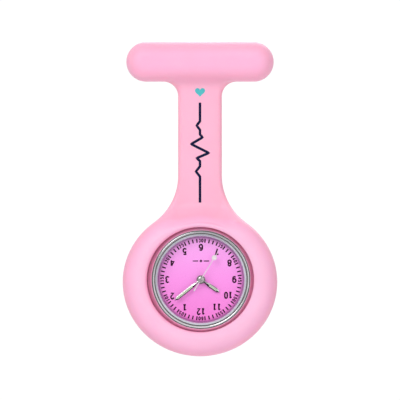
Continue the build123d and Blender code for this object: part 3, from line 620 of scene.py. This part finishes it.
def soften(piece, degrees=32.0):
    """Shade smooth, with edges over this angle left crisp."""
    piece.data.shade_smooth()
    tidy = bmesh.new()
    tidy.from_mesh(piece.data)
    for edge in tidy.edges:
        edge.smooth = len(edge.link_faces) == 2 and edge.calc_face_angle(0) < radians(degrees)
    tidy.to_mesh(piece.data)
    tidy.free()


# ======== silicone holder ========


def smooth_min(a, b, k):
    """The lesser of two fields, blended over a distance k, which may be an array."""
    k = np.maximum(k, 1e-6)
    t = np.clip(0.5 + 0.5 * (b - a) / k, 0, 1)
    return b * (1 - t) + a * t - k * t * (1 - t)


def ease(t):
    """A smooth step from 0 to 1."""
    t = np.clip(t, 0, 1)
    return t * t * (3 - 2 * t)


def round_corner(a, b):
    """Signed distance to the corner where two fields meet at right angles, rounded outside."""
    return np.hypot(np.maximum(a, 0), np.maximum(b, 0)) + np.minimum(np.maximum(a, b), 0)


def slab(outline, y, y_back, y_front, back_round, front_round):
    """A plate with this signed outline distance, and rounded edges in front and behind."""
    split = y_front + front_round
    ahead = y < split
    depth = np.where(ahead, split - y, y - split)
    half = np.where(ahead, split - y_front, y_back - split)
    radius = np.where(ahead, front_round, back_round)
    return round_corner(outline + radius, depth - half + radius) - radius


def round_rectangle(x, z, half_x, half_z, corner):
    """Signed distance to a rectangle with round corners."""
    return round_corner(np.abs(x) - half_x + corner, np.abs(z) - half_z + corner) - corner


def box_field(*sides):
    """The field of a box from (place, centre, half length) along each of its axes."""
    return np.max([np.abs(place - centre) - half for place, centre, half in sides], axis=0)


# the centre of the arc that carries the strap's side into the ring, and where that arc meets it
spread_x = strap_half + ring_root_radius
spread_reach = ring_join_radius + ring_root_radius
spread_z = ring_centre_z + (spread_reach**2 - spread_x**2) ** 0.5
tangent_z = spread_z + (ring_centre_z - spread_z) * ring_root_radius / spread_reach
bar_corner_z = -bar_radius - bar_root_radius
strap_top_z = -2.0  # inside the bar
strap_end_z = ring_centre_z + 14.0  # inside the ring

# the silicone's pocket for the head: (height over the dial's back, radius)
pocket = [
    (-5.2, 13.15),
    (-4.85, 13.05),
    (-3.52, 13.05),
    (-3.48, 14.25),
    (-2.2, 15.36),
    (1.0, 15.36),
    (1.9, 14.68),
    (2.3, 14.48),
    (2.5, 14.44),
    (2.7, 14.46),
    (3.4, 14.46),
    (3.55, 14.58),
    (3.72, 14.88),
    (3.86, 15.3),
    (3.96, 15.9),
    (4.05, 16.8),
    (4.2, 19.5),
]
# how far the opening sits off the head's axis, by height over the dial's back
opening_heights = (2.4, 2.65, 3.3, 3.8)
opening_shifts = (0, -0.10, -0.10, -0.55)
opening_squeeze = 0.025  # the opening is this share narrower along the strap than across
squeeze_start, squeeze_rise = 2.45, 0.65  # the heights this comes in over

# how far, in millimetres, neighbouring shapes blend into each other, and the depth that takes
ring_blend, ring_blend_depth = 2.5, 3.0
bar_blend, bar_blend_depth = 2.6, 1.6
pocket_blend = 0.45
recess_blend = 0.35
pocket_slope = 0.8  # the pocket's field rises no faster than a true distance
plate_gap = 0.02  # between the recess's floor and the brooch's plate
# the neck, where the ring thins into the strap: by degrees off the strap's line and by radius
neck_turn, neck_turn_width = 14, 26
neck_reach, neck_reach_width = 5.0, 6.5


def strap_side(x, z):
    """Signed distance to the strap's side, which sweeps outwards into the bar and into the ring."""
    bar_corner = np.abs(x) - strap_half - bar_root_radius
    above = np.maximum(z - bar_corner_z, 0)
    ring_corner = np.minimum(np.abs(x) - strap_half - ring_root_radius, 0)
    below = np.clip(spread_z - z, 0, spread_z - tangent_z)
    into_bar = bar_root_radius - np.hypot(np.minimum(bar_corner, 0), above)
    into_bar = into_bar + np.maximum(bar_corner, 0) / 2
    return np.minimum(into_bar, ring_root_radius - np.hypot(ring_corner, below))


def holder_field(x, y, z):
    """Signed distance, nearly, to the silicone's surface: negative inside."""
    straight = bar_half_width - bar_radius
    bar_outline = np.hypot(np.maximum(np.abs(x) - straight, 0), z) - bar_radius
    bar = slab(bar_outline, y, back_y, bar_front_y, bar_back_round, bar_front_round)

    ends = np.maximum(z - strap_top_z, strap_end_z - z)
    strap_outline = np.maximum(strap_side(x, z), ends)
    from_ring = np.hypot(x, z - ring_centre_z)
    stretch = np.hypot(x / ring_half_width, (z - ring_centre_z) / ring_half_height)
    ring_outline = from_ring - from_ring / np.maximum(stretch, 1e-6)
    ring_inside = -np.minimum(ring_outline, strap_outline)
    joined = smooth_min(
        ring_outline, strap_outline, ring_blend * ease(ring_inside / ring_blend_depth)
    )
    # the ring's depth and roundness run down to the strap's across the neck
    sideways = np.degrees(np.arctan2(np.abs(x), np.maximum(z - ring_centre_z, 1e-6)))
    neck = 1 - ease((sideways - neck_turn) / neck_turn_width)
    neck = neck * ease((ring_outline + neck_reach) / neck_reach_width)
    crown_line = strap_dome * np.clip(np.abs(x) / strap_half, 0, 1) ** 2
    front = ring_front_y + (strap_front_y + crown_line - ring_front_y) * neck
    front_round = ring_front_round + (strap_front_round - ring_front_round) * neck
    back_round = ring_back_round + (strap_back_round - ring_back_round) * neck
    body = slab(joined, y, back_y, front, back_round, front_round)

    bar_inside = -np.minimum(bar_outline, joined)
    body = smooth_min(body, bar, bar_blend * ease(bar_inside / bar_blend_depth))
    body = np.maximum(body, y - back_y)

    height = dial_back_y - y
    shift = np.interp(height, opening_heights, opening_shifts)
    squeeze = 1 + opening_squeeze * ease((height - squeeze_start) / squeeze_rise)
    pocket_heights, pocket_radii = np.array(pocket).T
    reach = np.hypot(x - head_x - shift, (z - head_z) * squeeze)
    hollow = (reach - np.interp(height, pocket_heights, pocket_radii)) * pocket_slope
    body = -smooth_min(-body, hollow, pocket_blend)

    # the crown turns and pulls out in a room of its own
    crown_room = box_field(
        (x, head_x - crown_from_head, 2.15), (height, -0.85, 1.85), (z, head_z, 1.85)
    )
    body = np.maximum(body, -crown_room)

    # the brooch lies in an open recess; its plate's edge is held in an undercut all round
    window = round_rectangle(x, z, 14.5, 2.8, 1.2)
    recess = np.maximum(window, brooch_front_y - plate_gap - y)
    body = -smooth_min(-body, recess, recess_blend)
    undercut = box_field((x, 0, 15.55), (z, 0, 2.55), (y, -2.7, 0.33))
    return np.maximum(body, -undercut)


def gradient(field, points, reach=0.02):
    """The slope of a field at points, by differences."""
    slope = np.empty_like(points)
    for axis in range(3):
        step = np.zeros(3)
        step[axis] = reach
        ahead = field(*(points + step).T)
        behind = field(*(points - step).T)
        slope[:, axis] = (ahead - behind) / (2 * reach)
    return slope


def surface_net(field, low, high, step):
    """Points and four-sided faces on the surface where a field is zero."""
    axes = [np.arange(low[i] - 1.5 * step, high[i] + 2.5 * step, step) for i in range(3)]
    grid = np.meshgrid(*axes, indexing="ij")
    value = field(*grid)
    inside = value < 0
    shape = np.array(value.shape) - 1
    total = np.zeros((*shape, 3))
    count = np.zeros(shape)
    corners = [(i, j, k) for i in (0, 1) for j in (0, 1) for k in (0, 1)]
    for start in corners:
        for axis in range(3):
            if start[axis]:
                continue
            end = list(start)
            end[axis] = 1
            a = tuple(slice(s, s + n) for s, n in zip(start, shape))
            b = tuple(slice(s, s + n) for s, n in zip(end, shape))
            crossed = inside[a] != inside[b]
            share = value[a] / np.where(crossed, value[a] - value[b], 1)
            spot = np.zeros((*shape, 3)) + np.array(start)
            spot[..., axis] += share
            total += spot * crossed[..., None]
            count += crossed
    cells = np.argwhere(count > 0)
    where = tuple(cells.T)
    number = -np.ones(shape, dtype=int)
    number[where] = np.arange(len(cells))
    origin = np.array([axis[0] for axis in axes])
    points = origin + (cells + total[where] / count[where][:, None]) * step
    faces = []
    for axis in range(3):
        others = [i for i in range(3) if i != axis]
        a = [slice(None)] * 3
        b = [slice(None)] * 3
        a[axis], b[axis] = slice(0, -1), slice(1, None)
        crossed = inside[tuple(a)] != inside[tuple(b)]
        spots = np.argwhere(crossed)
        sides = spots[:, others]
        spots = spots[np.all((sides > 0) & (sides < shape[others]), axis=1)]
        leaving = inside[tuple(spots.T)]
        ring_of_cells = []
        for first, second in ((-1, -1), (0, -1), (0, 0), (-1, 0)):
            cell = spots.copy()
            cell[:, others[0]] += first
            cell[:, others[1]] += second
            ring_of_cells.append(number[tuple(cell.T)])
        quads = np.stack(ring_of_cells, axis=1)
        flip = leaving if axis == 1 else ~leaving
        quads[flip] = quads[flip][:, ::-1]
        faces.append(quads)
    for _ in range(4):
        slope = gradient(field, points)
        size = np.maximum((slope**2).sum(axis=1), 0.05)
        move = -(field(*points.T) / size)[:, None] * slope
        length = np.linalg.norm(move, axis=1, keepdims=True)
        points = points + move * np.minimum(1, 0.5 * step / np.maximum(length, 1e-9))
    return points, np.concatenate(faces)


step = net_step * 1.0
points, faces = surface_net(holder_field, holder_low, holder_high, step)
points = np.clip(points, holder_low, holder_high)
holder = new_piece(
    "silicone_holder_moulding", points, faces.tolist(), silicone, "holder"
)
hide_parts("silicone_holder")
print("holder faces", len(faces), "points", len(points))

# ======== watch head ========

turned_piece(
    "bezel_polished",
    [
        (13.03, 1.93, 0),
        (14.5, 1.93, 0.05),
        (14.38, 2.5, 0.1),
        (13.12, 3.95, 0.05),
        (12.94, 4.09, 0.1),
        (12.66, 4.09, 0.1),
        (12.52, 3.92, 0.05),
        (12.52, 2.73, 0),
        (13.03, 2.73, 0),
    ],
    bezel_chrome_painted_reflection,
    "case_chrome",
    "bezel_ring",
)
turned_piece(
    "crystal_flat",
    [
        (0, 2.74, 0),
        (12.26, 2.74, 0.03),
        (12.26, 3.88, 0.12),
        (0, 3.88, 0),
    ],
    glass,
    "crystal_glass",
    "crystal",
    closed=False,
)
turned_piece(
    "crystal_seal",
    [
        (12.29, 2.73, 0),
        (12.29, 3.84, 0.05),
        (12.49, 3.84, 0.05),
        (12.49, 2.73, 0),
    ],
    seal,
    "dark_seal",
    "crystal_gasket",
)
turned_piece(
    "flange_ring",
    [
        (11.53, 0.43, 0),
        (11.56, 0.8, 0.1),
        (11.8, 2.62, 0.05),
        (11.97, 2.64, 0),
        (11.97, 0.43, 0),
    ],
    flange_silver,
    "silver_flange",
    "rehaut_ring",
)
turned_piece(
    "crystal_seat_ring",
    [
        (11.82, 2.703, 0),
        (11.82, 2.716, 0),
        (12.24, 2.716, 0),
        (12.24, 2.703, 0),
    ],
    seat_white,
    "silver_flange",
)
# painted shade: a thin dark band over the bezel's outer edge, standing in for the dark line of
# shadow and reflection where it meets the silicone
turned_piece(
    "bezel_edge_painted_shade",
    [
        (12.97, 3.9, 0),
        (13.0, 4.07, 0.02),
        (13.12, 4.02, 0.03),
        (13.26, 3.86, 0.02),
        (13.1, 3.74, 0),
    ],
    seal,
    "dark_seal",
)
turned_piece(
    "hub_cap",
    [
        (0, 2.19, 0),
        (0.78, 2.19, 0),
        (0.78, 2.27, 0.04),
        (0.55, 2.38, 0.1),
        (0.34, 2.40, 0.03),
        (0.30, 2.5, 0.03),
        (0.24, 2.56, 0.04),
        (0, 2.56, 0),
    ],
    hub_silver,
    "hand_silver",
    body="seconds",
    closed=False,
    segments=64,
)
turned_piece(
    "lid_turned",
    [
        (0, -3.52, 0),
        (11.37, -3.52, 0),
        (11.37, -3.02, 0.05),
        (11.88, -3.02, 0.05),
        (11.88, -3.52, 0),
        (12.88, -3.52, 0.03),
        (12.88, -4.0, 0.08),
        (12.4, -4.28, 0.12),
        (11.7, -4.28, 0.05),
        (11.55, -4.18, 0.05),
        (11.4, -4.28, 0.05),
        (0, -4.28, 0),
    ],
    lid_steel,
    "back_steel",
    "case_back",
    closed=False,
)

# ======== hands ========

hand_thickness = 0.15
hand_edge = 0.03  # the height left at the foot of a hand's slopes
hub_chamfer = 0.06
hub_rounds = 48

def roof_half(stations, side):
    """One side of a hand from (along, half width, window half width) stations."""
    points, faces = [], []
    for along, half, window in stations:
        points += [
            (along, side * window, 0),
            (along, side * window, hand_thickness),
            (along, side * half, hand_edge if half > window else hand_thickness),
            (along, side * half, 0),
        ]
    for i in range(len(stations) - 1):
        a, b = 4 * i, 4 * i + 4
        for k in range(4):
            m = (k + 1) % 4
            if k == 0 and stations[i][2] == 0 and stations[i + 1][2] == 0:
                continue
            faces.append((a + k, b + k, b + m, a + m))
    return points, faces


def hub_ring(hub, bore):
    """The ring a hand turns on, between these radii, with its front edge chamfered."""
    profile = [
        (bore, 0),
        (bore, hand_thickness),
        (hub - hub_chamfer, hand_thickness),
        (hub, hand_thickness - hub_chamfer),
        (hub, 0),
    ]
    rows = len(profile)
    points = []
    for i in range(hub_rounds):
        a = 2 * pi * i / hub_rounds
        points += [(r * cos(a), r * sin(a), h) for r, h in profile]
    return points, around(hub_rounds, rows, rows)


def polished_hand(name, node, body, angle, low, hub, bore, stations):
    """A hand with sloping polished sides and an open window for its lume."""
    blades = [roof_half(stations, side) for side in (1, -1)]
    points, faces = gathered(blades)
    for start in (0, 4 * len(stations)):
        tip = start + 4 * len(stations) - 4
        faces += [tuple(range(start, start + 4)), tuple(range(tip, tip + 4))]
    points, faces = gathered([(points, faces), hub_ring(hub, bore)])
    along_u, along_v = sin(radians(angle)), cos(radians(angle))
    placed = [
        head_point(x * along_u - y * along_v, x * along_v + y * along_u, low + h)
        for x, y, h in points
    ]
    piece = new_piece(name, placed, faces, hand_silver, body, smooth=False)
    clean(piece, 0.0006)
    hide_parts(node)


polished_hand(
    "hour_hand_polished",
    "hour_hand",
    "hours",
    angle=304.3,
    low=1.0,
    hub=1.15,
    bore=0.81,
    stations=[
        (0.95, 0.3, 0),
        (1.6, 0.25, 0),
        (2.45, 0.5, 0),
        (2.75, 0.5, 0),
        (2.75, 0.5, 0.29),
        (5.1, 0.5, 0.29),
        (5.1, 0.5, 0),
        (5.3, 0.46, 0),
        (6.08, 0.02, 0),
    ],
)
polished_hand(
    "minute_hand_polished",
    "minute_hand",
    "minutes",
    angle=51.5,
    low=1.55,
    hub=0.85,
    bore=0.46,
    stations=[
        (0.7, 0.22, 0),
        (1.3, 0.2, 0),
        (2.6, 0.46, 0),
        (2.95, 0.46, 0),
        (2.95, 0.46, 0.26),
        (8.1, 0.46, 0.26),
        (8.1, 0.46, 0),
        (8.25, 0.42, 0),
        (9.0, 0.02, 0),
    ],
)

# ======== dial printing ========

dial_top = 0.4
ink = 0.012  # how thick the print is
ink_gap = 0.002  # between the dial and the print's back
stroke_step = 0.004  # each further stroke of a figure lies this much higher
stroke_rise = 0.002  # a stroke rises this much on its way, so that it clears itself


def printed(name, lots, material):
    """One printed piece from several (points, faces) lots."""
    points, faces = gathered(lots)
    clean(new_piece(name, points, faces, material, "holder", smooth=False))


def arc(centre_x, centre_y, half_wide, half_high, start, end):
    """Points along part of an ellipse, between two angles in degrees."""
    turns = np.radians(np.linspace(start, end, 3 + int(abs(end - start) / 12)))
    return [(centre_x + half_wide * cos(t), centre_y + half_high * sin(t)) for t in turns]


# the strokes of each figure, inside a square of side one around the origin
strokes_of = {
    "0": [arc(0, 0.18, 0.5, 0.32, 0, 180) + arc(0, -0.18, 0.5, 0.32, 180, 360) + [(0.5, 0.18)]],
    "1": [
        [(-0.38, 0.28), (-0.04, 0.5), (-0.04, -0.5)],
        [(0.1, 0.5), (0.1, -0.5)],
        [(-0.4, -0.5), (0.48, -0.5)],
    ],
    "2": [arc(0, 0.2, 0.46, 0.3, 170, -32) + [(-0.46, -0.5), (0.5, -0.5)]],
    "3": [arc(0, 0.255, 0.42, 0.245, 150, -75), arc(0, -0.23, 0.5, 0.27, 78, -150)],
    "4": [[(0.32, -0.5), (0.32, 0.5)], [(0.26, 0.5), (-0.5, -0.24), (0.54, -0.24)]],
    "5": [[(0.42, 0.5), (-0.34, 0.5), (-0.42, 0.02)] + arc(0, -0.17, 0.5, 0.33, 140, -150)],
    "6": [arc(0, -0.18, 0.5, 0.32, 180, 545), [(-0.5, -0.18)] + arc(0, 0.1, 0.5, 0.4, 180, 40)],
    "7": [[(-0.48, 0.5), (0.48, 0.5), (-0.1, -0.5)]],
    "8": [arc(0, 0.255, 0.41, 0.245, -90, 275), arc(0, -0.23, 0.5, 0.27, 90, 455)],
    "9": [arc(0, 0.18, 0.5, 0.32, 0, 365), [(0.5, 0.18)] + arc(0, -0.1, 0.5, 0.4, 0, -140)],
}


def ribbon(path, width, rise):
    """A thin solid strip along a flat path, with mitred corners; it rises a little on its way."""
    path = np.array(path, dtype=float)
    path = path[np.append(True, np.linalg.norm(np.diff(path, axis=0), axis=1) > 1e-6)]
    ahead = np.diff(path, axis=0)
    ahead /= np.linalg.norm(ahead, axis=1, keepdims=True)
    normal = np.stack([-ahead[:, 1], ahead[:, 0]], axis=1)
    before = np.vstack([normal[:1], normal])
    after = np.vstack([normal, normal[-1:]])
    across = before + after
    across *= width / np.maximum((across * before).sum(axis=1, keepdims=True), 0.7) / 2
    count = len(path)
    points = []
    for lift in (-ink / 2, ink / 2):
        for side in (path + across, path - across):
            points += [(x, y, lift + rise * i / count) for i, (x, y) in enumerate(side)]
    faces = []
    for i in range(count - 1):
        for a, b in ((0, 1), (1, 3), (3, 2), (2, 0)):
            faces.append((a * count + i, b * count + i, b * count + i + 1, a * count + i + 1))
    faces += [(0, 2 * count, 3 * count, count)]
    faces += [(count - 1, 2 * count - 1, 4 * count - 1, 3 * count - 1)]
    return points, faces


def figures(text, height, wide, stroke, gap):
    """Some figures as thin solids, centred, as a list of (points, faces)."""
    lots = []
    step = wide + gap
    for place, figure in enumerate(text):
        shift = (place - (len(text) - 1) / 2) * step
        for order, stroke_path in enumerate(strokes_of[figure]):
            path = [(shift + x * (wide - stroke), y * (height - stroke)) for x, y in stroke_path]
            points, faces = ribbon(path, stroke, stroke_rise)
            lots.append(([(x, y, w + stroke_step * order) for x, y, w in points], faces))
    return lots


def laid_on_dial(flat, u, v, turn=0.0):
    """Flat (x, y, thickness) points turned and laid at a place on the dial."""
    c, s = cos(turn), sin(turn)
    return [
        head_point(u + x * c - y * s, v + x * s + y * c, dial_top + ink / 2 + ink_gap + w)
        for x, y, w in flat
    ]


def clock_place(angle, reach):
    """The (u, v) place at a clock angle in degrees and a distance from the centre."""
    return reach * sin(radians(angle)), reach * cos(radians(angle))


def rectangle(left, right, height):
    """The outline of a rectangle that lies level with the origin."""
    return [(left, -height / 2), (right, -height / 2), (right, height / 2), (left, height / 2)]


def plate_of(outline):
    """A thin solid from a closed flat outline."""
    flat = [(x, y, w) for w in (-ink / 2, ink / 2) for x, y in outline]
    return flat, plate_faces(len(outline))


figure_gap = 0.12
numeral_height, numeral_stroke = 1.92, 0.40
numeral_circle = 9.62  # the radius every numeral's outer edge touches
track_radius = 10.5
track_height, track_width, track_stroke = 1.04, 0.62, 0.24
tick_width = 0.36
ornament_v = -5.0
ornament_bar_inside, ornament_bar_outside, ornament_bar_height = 0.75, 2.2, 0.28
ornament_diamond = 0.42

numerals = []
for hour in range(1, 13):
    wide = 1.2 if hour < 10 else 1.08
    c, s = cos(radians(hour * 30)), sin(radians(hour * 30))
    half_wide = 0.6 if hour < 10 else 1.15
    u, v = clock_place(hour * 30, numeral_circle - hypot(half_wide * s, numeral_height / 2 * c))
    for flat, figure_faces in figures(str(hour), numeral_height, wide, numeral_stroke, figure_gap):
        numerals.append((laid_on_dial(flat, u, v), figure_faces))
printed("dial_numerals", numerals, print_plum)

track = []
for minute in range(60):
    angle = minute * 6
    u, v = clock_place(angle, track_radius)
    if minute % 5:
        lots = [plate_of(rectangle(-tick_width / 2, tick_width / 2, track_height))]
    else:
        text = f"{minute or 60:02d}"
        lots = figures(text, track_height, track_width, track_stroke, figure_gap)
    for flat, lot_faces in lots:
        track.append((laid_on_dial(flat, u, v, -radians(angle)), lot_faces))
printed("dial_minute_track", track, print_plum)

ornament = []
for outline in (
    rectangle(-ornament_bar_outside, -ornament_bar_inside, ornament_bar_height),
    rectangle(ornament_bar_inside, ornament_bar_outside, ornament_bar_height),
    [(-ornament_diamond, 0), (0, -ornament_diamond), (ornament_diamond, 0), (0, ornament_diamond)],
):
    flat, plate = plate_of(outline)
    ornament.append((laid_on_dial(flat, 0, ornament_v), plate))
printed("dial_ornament", ornament, print_plum)

# ======== print on the strap ========

print_lift, print_sink = 0.016, 0.02  # how far the print stands over the silicone, and reaches in
print_step = 0.3
pulse_width = 0.70
heart_scale = 0.085
heart_z = -8.1
heart_points_around = 48

def strap_surface(x, z):
    """The y of the silicone's front at these places."""
    x, z = np.asarray(x, dtype=float), np.asarray(z, dtype=float)
    near, far = np.full(x.shape, strap_front_y - 1.5), np.full(x.shape, strap_front_y + 1.5)
    for _ in range(30):
        half = (near + far) / 2
        out = holder_field(x, half, z) > 0
        near, far = np.where(out, half, near), np.where(out, far, half)
    return (near + far) / 2


def strap_print(name, path, width, material):
    """A printed line along a path of (x, z) points on the strap."""
    path = np.array(path, dtype=float)
    dense = [path[0]]
    for a, b in zip(path[:-1], path[1:]):
        pieces = max(1, int(np.linalg.norm(b - a) / print_step))
        dense += [a + (b - a) * (i + 1) / pieces for i in range(pieces)]
    dense = np.array(dense)
    ahead = np.gradient(dense, axis=0)
    ahead /= np.linalg.norm(ahead, axis=1, keepdims=True)
    across = np.stack([-ahead[:, 1], ahead[:, 0]], axis=1) * width / 2
    left, right = dense + across, dense - across
    points, faces = [], []
    for lift in (print_lift, -print_sink):
        for side in (left, right):
            y = strap_surface(side[:, 0], side[:, 1]) - lift
            points += list(zip(side[:, 0], y, side[:, 1]))
    n = len(dense)
    for i in range(n - 1):
        faces.append((i, i + 1, n + i + 1, n + i))
        faces.append((2 * n + i, 3 * n + i, 3 * n + i + 1, 2 * n + i + 1))
        faces.append((i, 2 * n + i, 2 * n + i + 1, i + 1))
        faces.append((n + i, n + i + 1, 3 * n + i + 1, 3 * n + i))
    faces.append((0, n, 3 * n, 2 * n))
    faces.append((n - 1, 3 * n - 1, 4 * n - 1, 2 * n - 1))
    clean(new_piece(name, points, faces, material, "holder", smooth=False))


pulse = [
    (0.0, -11.0),
    (0.0, -16.0),
    (-0.9, -17.2),
    (0.0, -18.4),
    (0.0, -19.6),
    (0.7, -20.4),
    (-2.4, -22.2),
    (2.4, -24.6),
    (-0.9, -26.0),
    (0.0, -26.8),
    (0.0, -28.2),
    (-1.1, -29.6),
    (0.0, -31.0),
    (0.0, -38.0),
]
strap_print("strap_pulse_line", pulse, pulse_width, print_navy)

heart = []
for i in range(heart_points_around):
    t = 2 * pi * i / heart_points_around
    across = 16 * sin(t) ** 3
    up = 13 * cos(t) - 5 * cos(2 * t) - 2 * cos(3 * t) - cos(4 * t)
    heart.append((across * heart_scale, heart_z + up * heart_scale))
heart = np.array(heart)
heart_y = strap_surface(heart[:, 0], heart[:, 1])
heart_points = [
    (x, y - lift, z) for lift in (print_lift, -print_sink) for (x, z), y in zip(heart, heart_y)
]
heart_faces = plate_faces(heart_points_around)
heart_piece = new_piece(
    "strap_heart", heart_points, heart_faces, print_teal, "holder", smooth=False
)
clean(heart_piece)

# ======== stage, light and camera ========

scene = bpy.context.scene
scene.view_settings.view_transform = "Standard"

# in metres from here on
floor_half, floor_z = 0.5, -0.26
floor_corners = [(-1, -1), (1, -1), (1, 1), (-1, 1)]
mesh = bpy.data.meshes.new("floor")
mesh.from_pydata(
    [(x * floor_half, y * floor_half, floor_z) for x, y in floor_corners], [], [(0, 1, 2, 3)]
)
floor = bpy.data.objects.new("floor", mesh)
floor_pale = grained("floor_pale", (0.84, 0.84, 0.85), (0.86, 0.86, 0.87), (0.7, 0.8), 20.0)
mesh.materials.append(floor_pale)
scene.collection.objects.link(floor)

world = bpy.data.worlds.new("studio")
scene.world = world
world.use_nodes = True
tree = world.node_tree
background = tree.nodes["Background"]
background.inputs["Strength"].default_value = 1.0
direction = tree.nodes.new("ShaderNodeTexCoord")
parts = tree.nodes.new("ShaderNodeSeparateXYZ")
tree.links.new(direction.outputs["Generated"], parts.inputs["Vector"])


def sky_ramp(source, low, high, stops):
    """A grey ramp across a range of one direction's component."""
    spread = tree.nodes.new("ShaderNodeMapRange")
    spread.inputs["From Min"].default_value = low
    spread.inputs["From Max"].default_value = high
    ramp = tree.nodes.new("ShaderNodeValToRGB")
    elements = ramp.color_ramp.elements
    while len(elements) < len(stops):
        elements.new(0.5)
    for element, (position, grey) in zip(elements, stops):
        element.position = position
        element.color = (grey, grey, grey, 1)
    tree.links.new(source, spread.inputs["Value"])
    tree.links.new(spread.outputs["Result"], ramp.inputs["Fac"])
    return ramp


front_to_back = sky_ramp(
    parts.outputs["Y"],
    -1,
    1,
    [(0.0, 0.80), (0.15, 0.84), (0.30, 0.34), (0.5, 0.68), (0.75, 0.8), (1.0, 0.7)],
)
low_to_high = sky_ramp(parts.outputs["Z"], -1, 1, [(0.0, 0.95), (0.5, 0.92), (1.0, 1.10)])
both = tree.nodes.new("ShaderNodeVectorMath")
both.operation = "MULTIPLY"
tree.links.new(front_to_back.outputs["Color"], both.inputs[0])
tree.links.new(low_to_high.outputs["Color"], both.inputs[1])
tree.links.new(both.outputs["Vector"], background.inputs["Color"])
seen = tree.nodes.new("ShaderNodeBackground")
seen.inputs["Color"].default_value = (1, 1, 1, 1)
seen.inputs["Strength"].default_value = 1.05
rays = tree.nodes.new("ShaderNodeLightPath")
choose = tree.nodes.new("ShaderNodeMixShader")
tree.links.new(rays.outputs["Is Camera Ray"], choose.inputs["Fac"])
tree.links.new(background.outputs["Background"], choose.inputs[1])
tree.links.new(seen.outputs["Background"], choose.inputs[2])
tree.links.new(choose.outputs["Shader"], tree.nodes["World Output"].inputs["Surface"])


def softbox(name, place, target, size, power):
    """A square area light aimed at a point."""
    lamp = bpy.data.lights.new(name, "AREA")
    lamp.size = size
    lamp.energy = power
    lamp_object = bpy.data.objects.new(name, lamp)
    lamp_object.location = place
    aim = Vector(target) - Vector(place)
    lamp_object.rotation_mode = "QUATERNION"
    lamp_object.rotation_quaternion = aim.to_track_quat("-Z", "Y")
    scene.collection.objects.link(lamp_object)


centre = (cad_box[0] + cad_box[1]) / 2
softbox("key", (-0.25, -0.45, 0.30), centre, 0.35, 1.5)
softbox("fill", (0.35, -0.50, 0.05), centre, 0.40, 0.5)
softbox("rear", (0.10, 0.45, 0.30), centre, 0.40, 1.2)

camera = bpy.data.cameras.new("camera")
camera_object = bpy.data.objects.new("camera", camera)
scene.collection.objects.link(camera_object)
scene.camera = camera_object
distance = 2.5
seen_height = 0.10816  # how much of the object's plane the picture takes in
camera_z = -0.0373
camera.sensor_width = 36
camera.lens = camera.sensor_width * distance / seen_height
camera_object.location = (0.0, -distance, camera_z)
camera_object.rotation_euler = (pi / 2, 0, 0)
camera.clip_start = 0.05
camera.clip_end = 10.0
